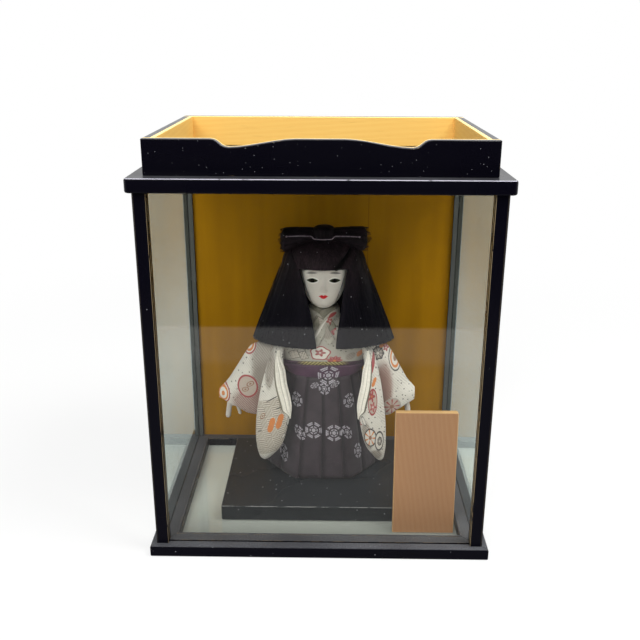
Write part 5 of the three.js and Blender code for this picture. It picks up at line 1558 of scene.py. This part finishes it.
BACK_SPLIT = 0.1
left_fall = fall_place(lambda v: 0.5 - BACK_SPLIT, lambda v: FRONT - fall_opening(v, -1), 23.0)
right_fall = fall_place(lambda v: FRONT + fall_opening(v, 1), lambda v: 1 + BACK_SPLIT, 25.0)
back_fall = fall_place(lambda v: BACK_SPLIT, lambda v: 0.5 - BACK_SPLIT, 27.0)
hair_pieces = [
    ("hair_crown", 360, 40, crown_place, hair_parted, True),
    ("hair_fall_left", 110, 44, left_fall, hair_down, False),
    ("hair_fall_right", 110, 44, right_fall, hair_down, False),
    ("hair_fall_back", 110, 44, back_fall, hair_down, False),
    ("hair_loop_left", 64, 36, loop_place(-1), hair_across, True),
    ("hair_loop_right", 64, 36, loop_place(1), hair_across, True),
    ("hair_knob", 64, 28, knob_place, hair_down, True),
]
for node, columns, rows, place, material, closed in hair_pieces:
    maps = ("cloth", "parting") if material is hair_parted else ("cloth",)
    hank = laid(node + "_floss", columns, rows, place, material, closed=closed, maps=maps)
    if node.startswith(("hair_crown", "hair_fall")):
        thicken(hank, HAIR_WALL)
    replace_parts(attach(hank, "doll_head"), node)


def strands(name, paths, radius, material, node):
    """Loose threads of floss, each one thin tube."""
    curve = bpy.data.curves.new(name, "CURVE")
    curve.dimensions = "3D"
    curve.bevel_depth = radius * MM
    curve.bevel_resolution = 0
    for path in paths:
        spline = curve.splines.new("POLY")
        spline.points.add(len(path) - 1)
        for knot, place in zip(spline.points, path):
            knot.co = (*(DOLL_FOOT + Vector(place)) * MM, 1)
    curve.materials.append(material)
    piece = bpy.data.objects.new(name, curve)
    scene.collection.objects.link(piece)
    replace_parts(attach(piece, "doll_head"), node)


def fall_strand(index):
    """One thread on a fall, from below the fringe to just past the hem."""
    turned = FRONT + math.copysign(lerp(0.05, 0.34, index * GOLDEN % 1), index % 2 - 0.5)
    start = lerp(0.35, 1, index * GOLDEN * 3 % 1)
    knots = []
    for step in range(9):
        share = step / 8
        height = lerp(lerp(HAIR_HEM, FRINGE, start), HAIR_HEM - 0.8, share)
        drift = 0.006 * ripple(share * 2, index * 1.7, 51.0)
        side = 1 if turned > FRONT else -1
        opening = fall_opening((height - HAIR_HEM) / (FRINGE - HAIR_HEM) * FALL_SHARE, side)
        away = max(abs(turned - FRONT), opening + 0.004)
        knots.append(hair_point(FRONT + math.copysign(away, turned - FRONT) + drift, height,
                                0.1 - 0.5 * math.sin(share * math.pi)))
    return knots


def loop_strand(side, index):
    """One thread that stands off the frayed end of a loop."""
    angle = index * GOLDEN * math.tau
    depth = math.sqrt(index * GOLDEN * 7 % 1)
    knots = []
    for step in range(6):
        share = step / 5
        along = lerp(0.55, 0.97, share)
        reach = lerp(0.5, 3.6 + max(0, side) * 2, (index * GOLDEN * 2 % 1) ** 2) * share ** 3
        stand = lerp(1.01, lerp(0.25, 1.06, depth), share ** 2)
        knots.append(loop_point(side, along, angle, stand, reach))
    return knots


def cheek_strand(side, index):
    """A thread combed past the cheek, from the fringe to below the chin."""
    knots = []
    for step in range(9):
        share = step / 8
        height = lerp(FRINGE, 201 + 2 * index, share)
        half, front, back = level_at(HEAD_LEVELS, height)
        x = lerp(23.8, 11.8 + 1.5 * index, share ** 1.3)
        turned = math.acos(min(x / half, 0.98) ** (1 / HEAD_SQUARE))
        knots.append((side * x, lerp(front, back, 0.5 - 0.5 * math.sin(turned) ** HEAD_FLAT) - 1.0, height))
    return knots


FALL_STRANDS = 150
LOOP_STRANDS = 110
CHEEK_STRANDS = 2
FALL_THREAD = 0.14
LOOP_THREAD = 0.11
CHEEK_THREAD = 0.12
strands("fall_strands", [fall_strand(k) for k in range(FALL_STRANDS)], FALL_THREAD, hair_down,
        "hair_fall_back")
for name, side in (("left", -1), ("right", 1)):
    strands(f"loop_strands_{name}", [loop_strand(side, k) for k in range(LOOP_STRANDS)], LOOP_THREAD,
            hair_across, "hair_loop_" + name)
    strands(f"cheek_strands_{name}", [cheek_strand(side, k) for k in range(CHEEK_STRANDS)], CHEEK_THREAD,
            hair_down, "hair_fall_" + name)

# Hairpin: a slim silvered bar laid before the knob, dipped round it, with a small bead at each end.
# It is pushed through the floss at the knob's foot and has tarnished in spots.
PIN_SILVER = (0.60, 0.52, 0.60, 1)
PIN_TARNISH = (0.30, 0.22, 0.30, 1)
PIN_HALF = 38.8
PIN_OFF_CENTRE = -0.8
PIN_Y = -19.5
PIN_Z = 270.2
PIN_DIP = 3.1


def pin_place(u, v):
    share = 2 * v - 1
    aside = abs(share)
    bead = 0.75 * math.exp(-((aside - 0.975) / 0.016) ** 2) + 0.35 * math.exp(-((aside - 0.27) / 0.02) ** 2)
    radius = (0.5 + bead) * math.sqrt(max(0, 1 - max(0, (aside - 0.96) / 0.04) ** 2))
    rise = PIN_Z + 0.7 * math.sin(aside * math.pi) - PIN_DIP * eased(0.33, 0.22, aside)
    angle = u * math.tau
    across = PIN_OFF_CENTRE + share * PIN_HALF
    return (across, PIN_Y + radius * math.cos(angle), rise + radius * math.sin(angle)), (u, v)


pin_silver, tree, shader = finish("pin_silver")
tarnish = ramped(tree, mottle(tree, object_place(tree), 420, 4), 0.4, 0.7)
silvered = mixed(tree, tarnish, PIN_SILVER, PIN_TARNISH)
coated(tree, shader, silvered, ramped(tree, tarnish, 0, 1, 0.28, 0.5))
shader.inputs["Metallic"].default_value = 0.9
pin = laid("hair_pin_bar", 14, 160, pin_place, pin_silver, closed=True)
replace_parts(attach(pin, "doll_head"), "hair_pin")
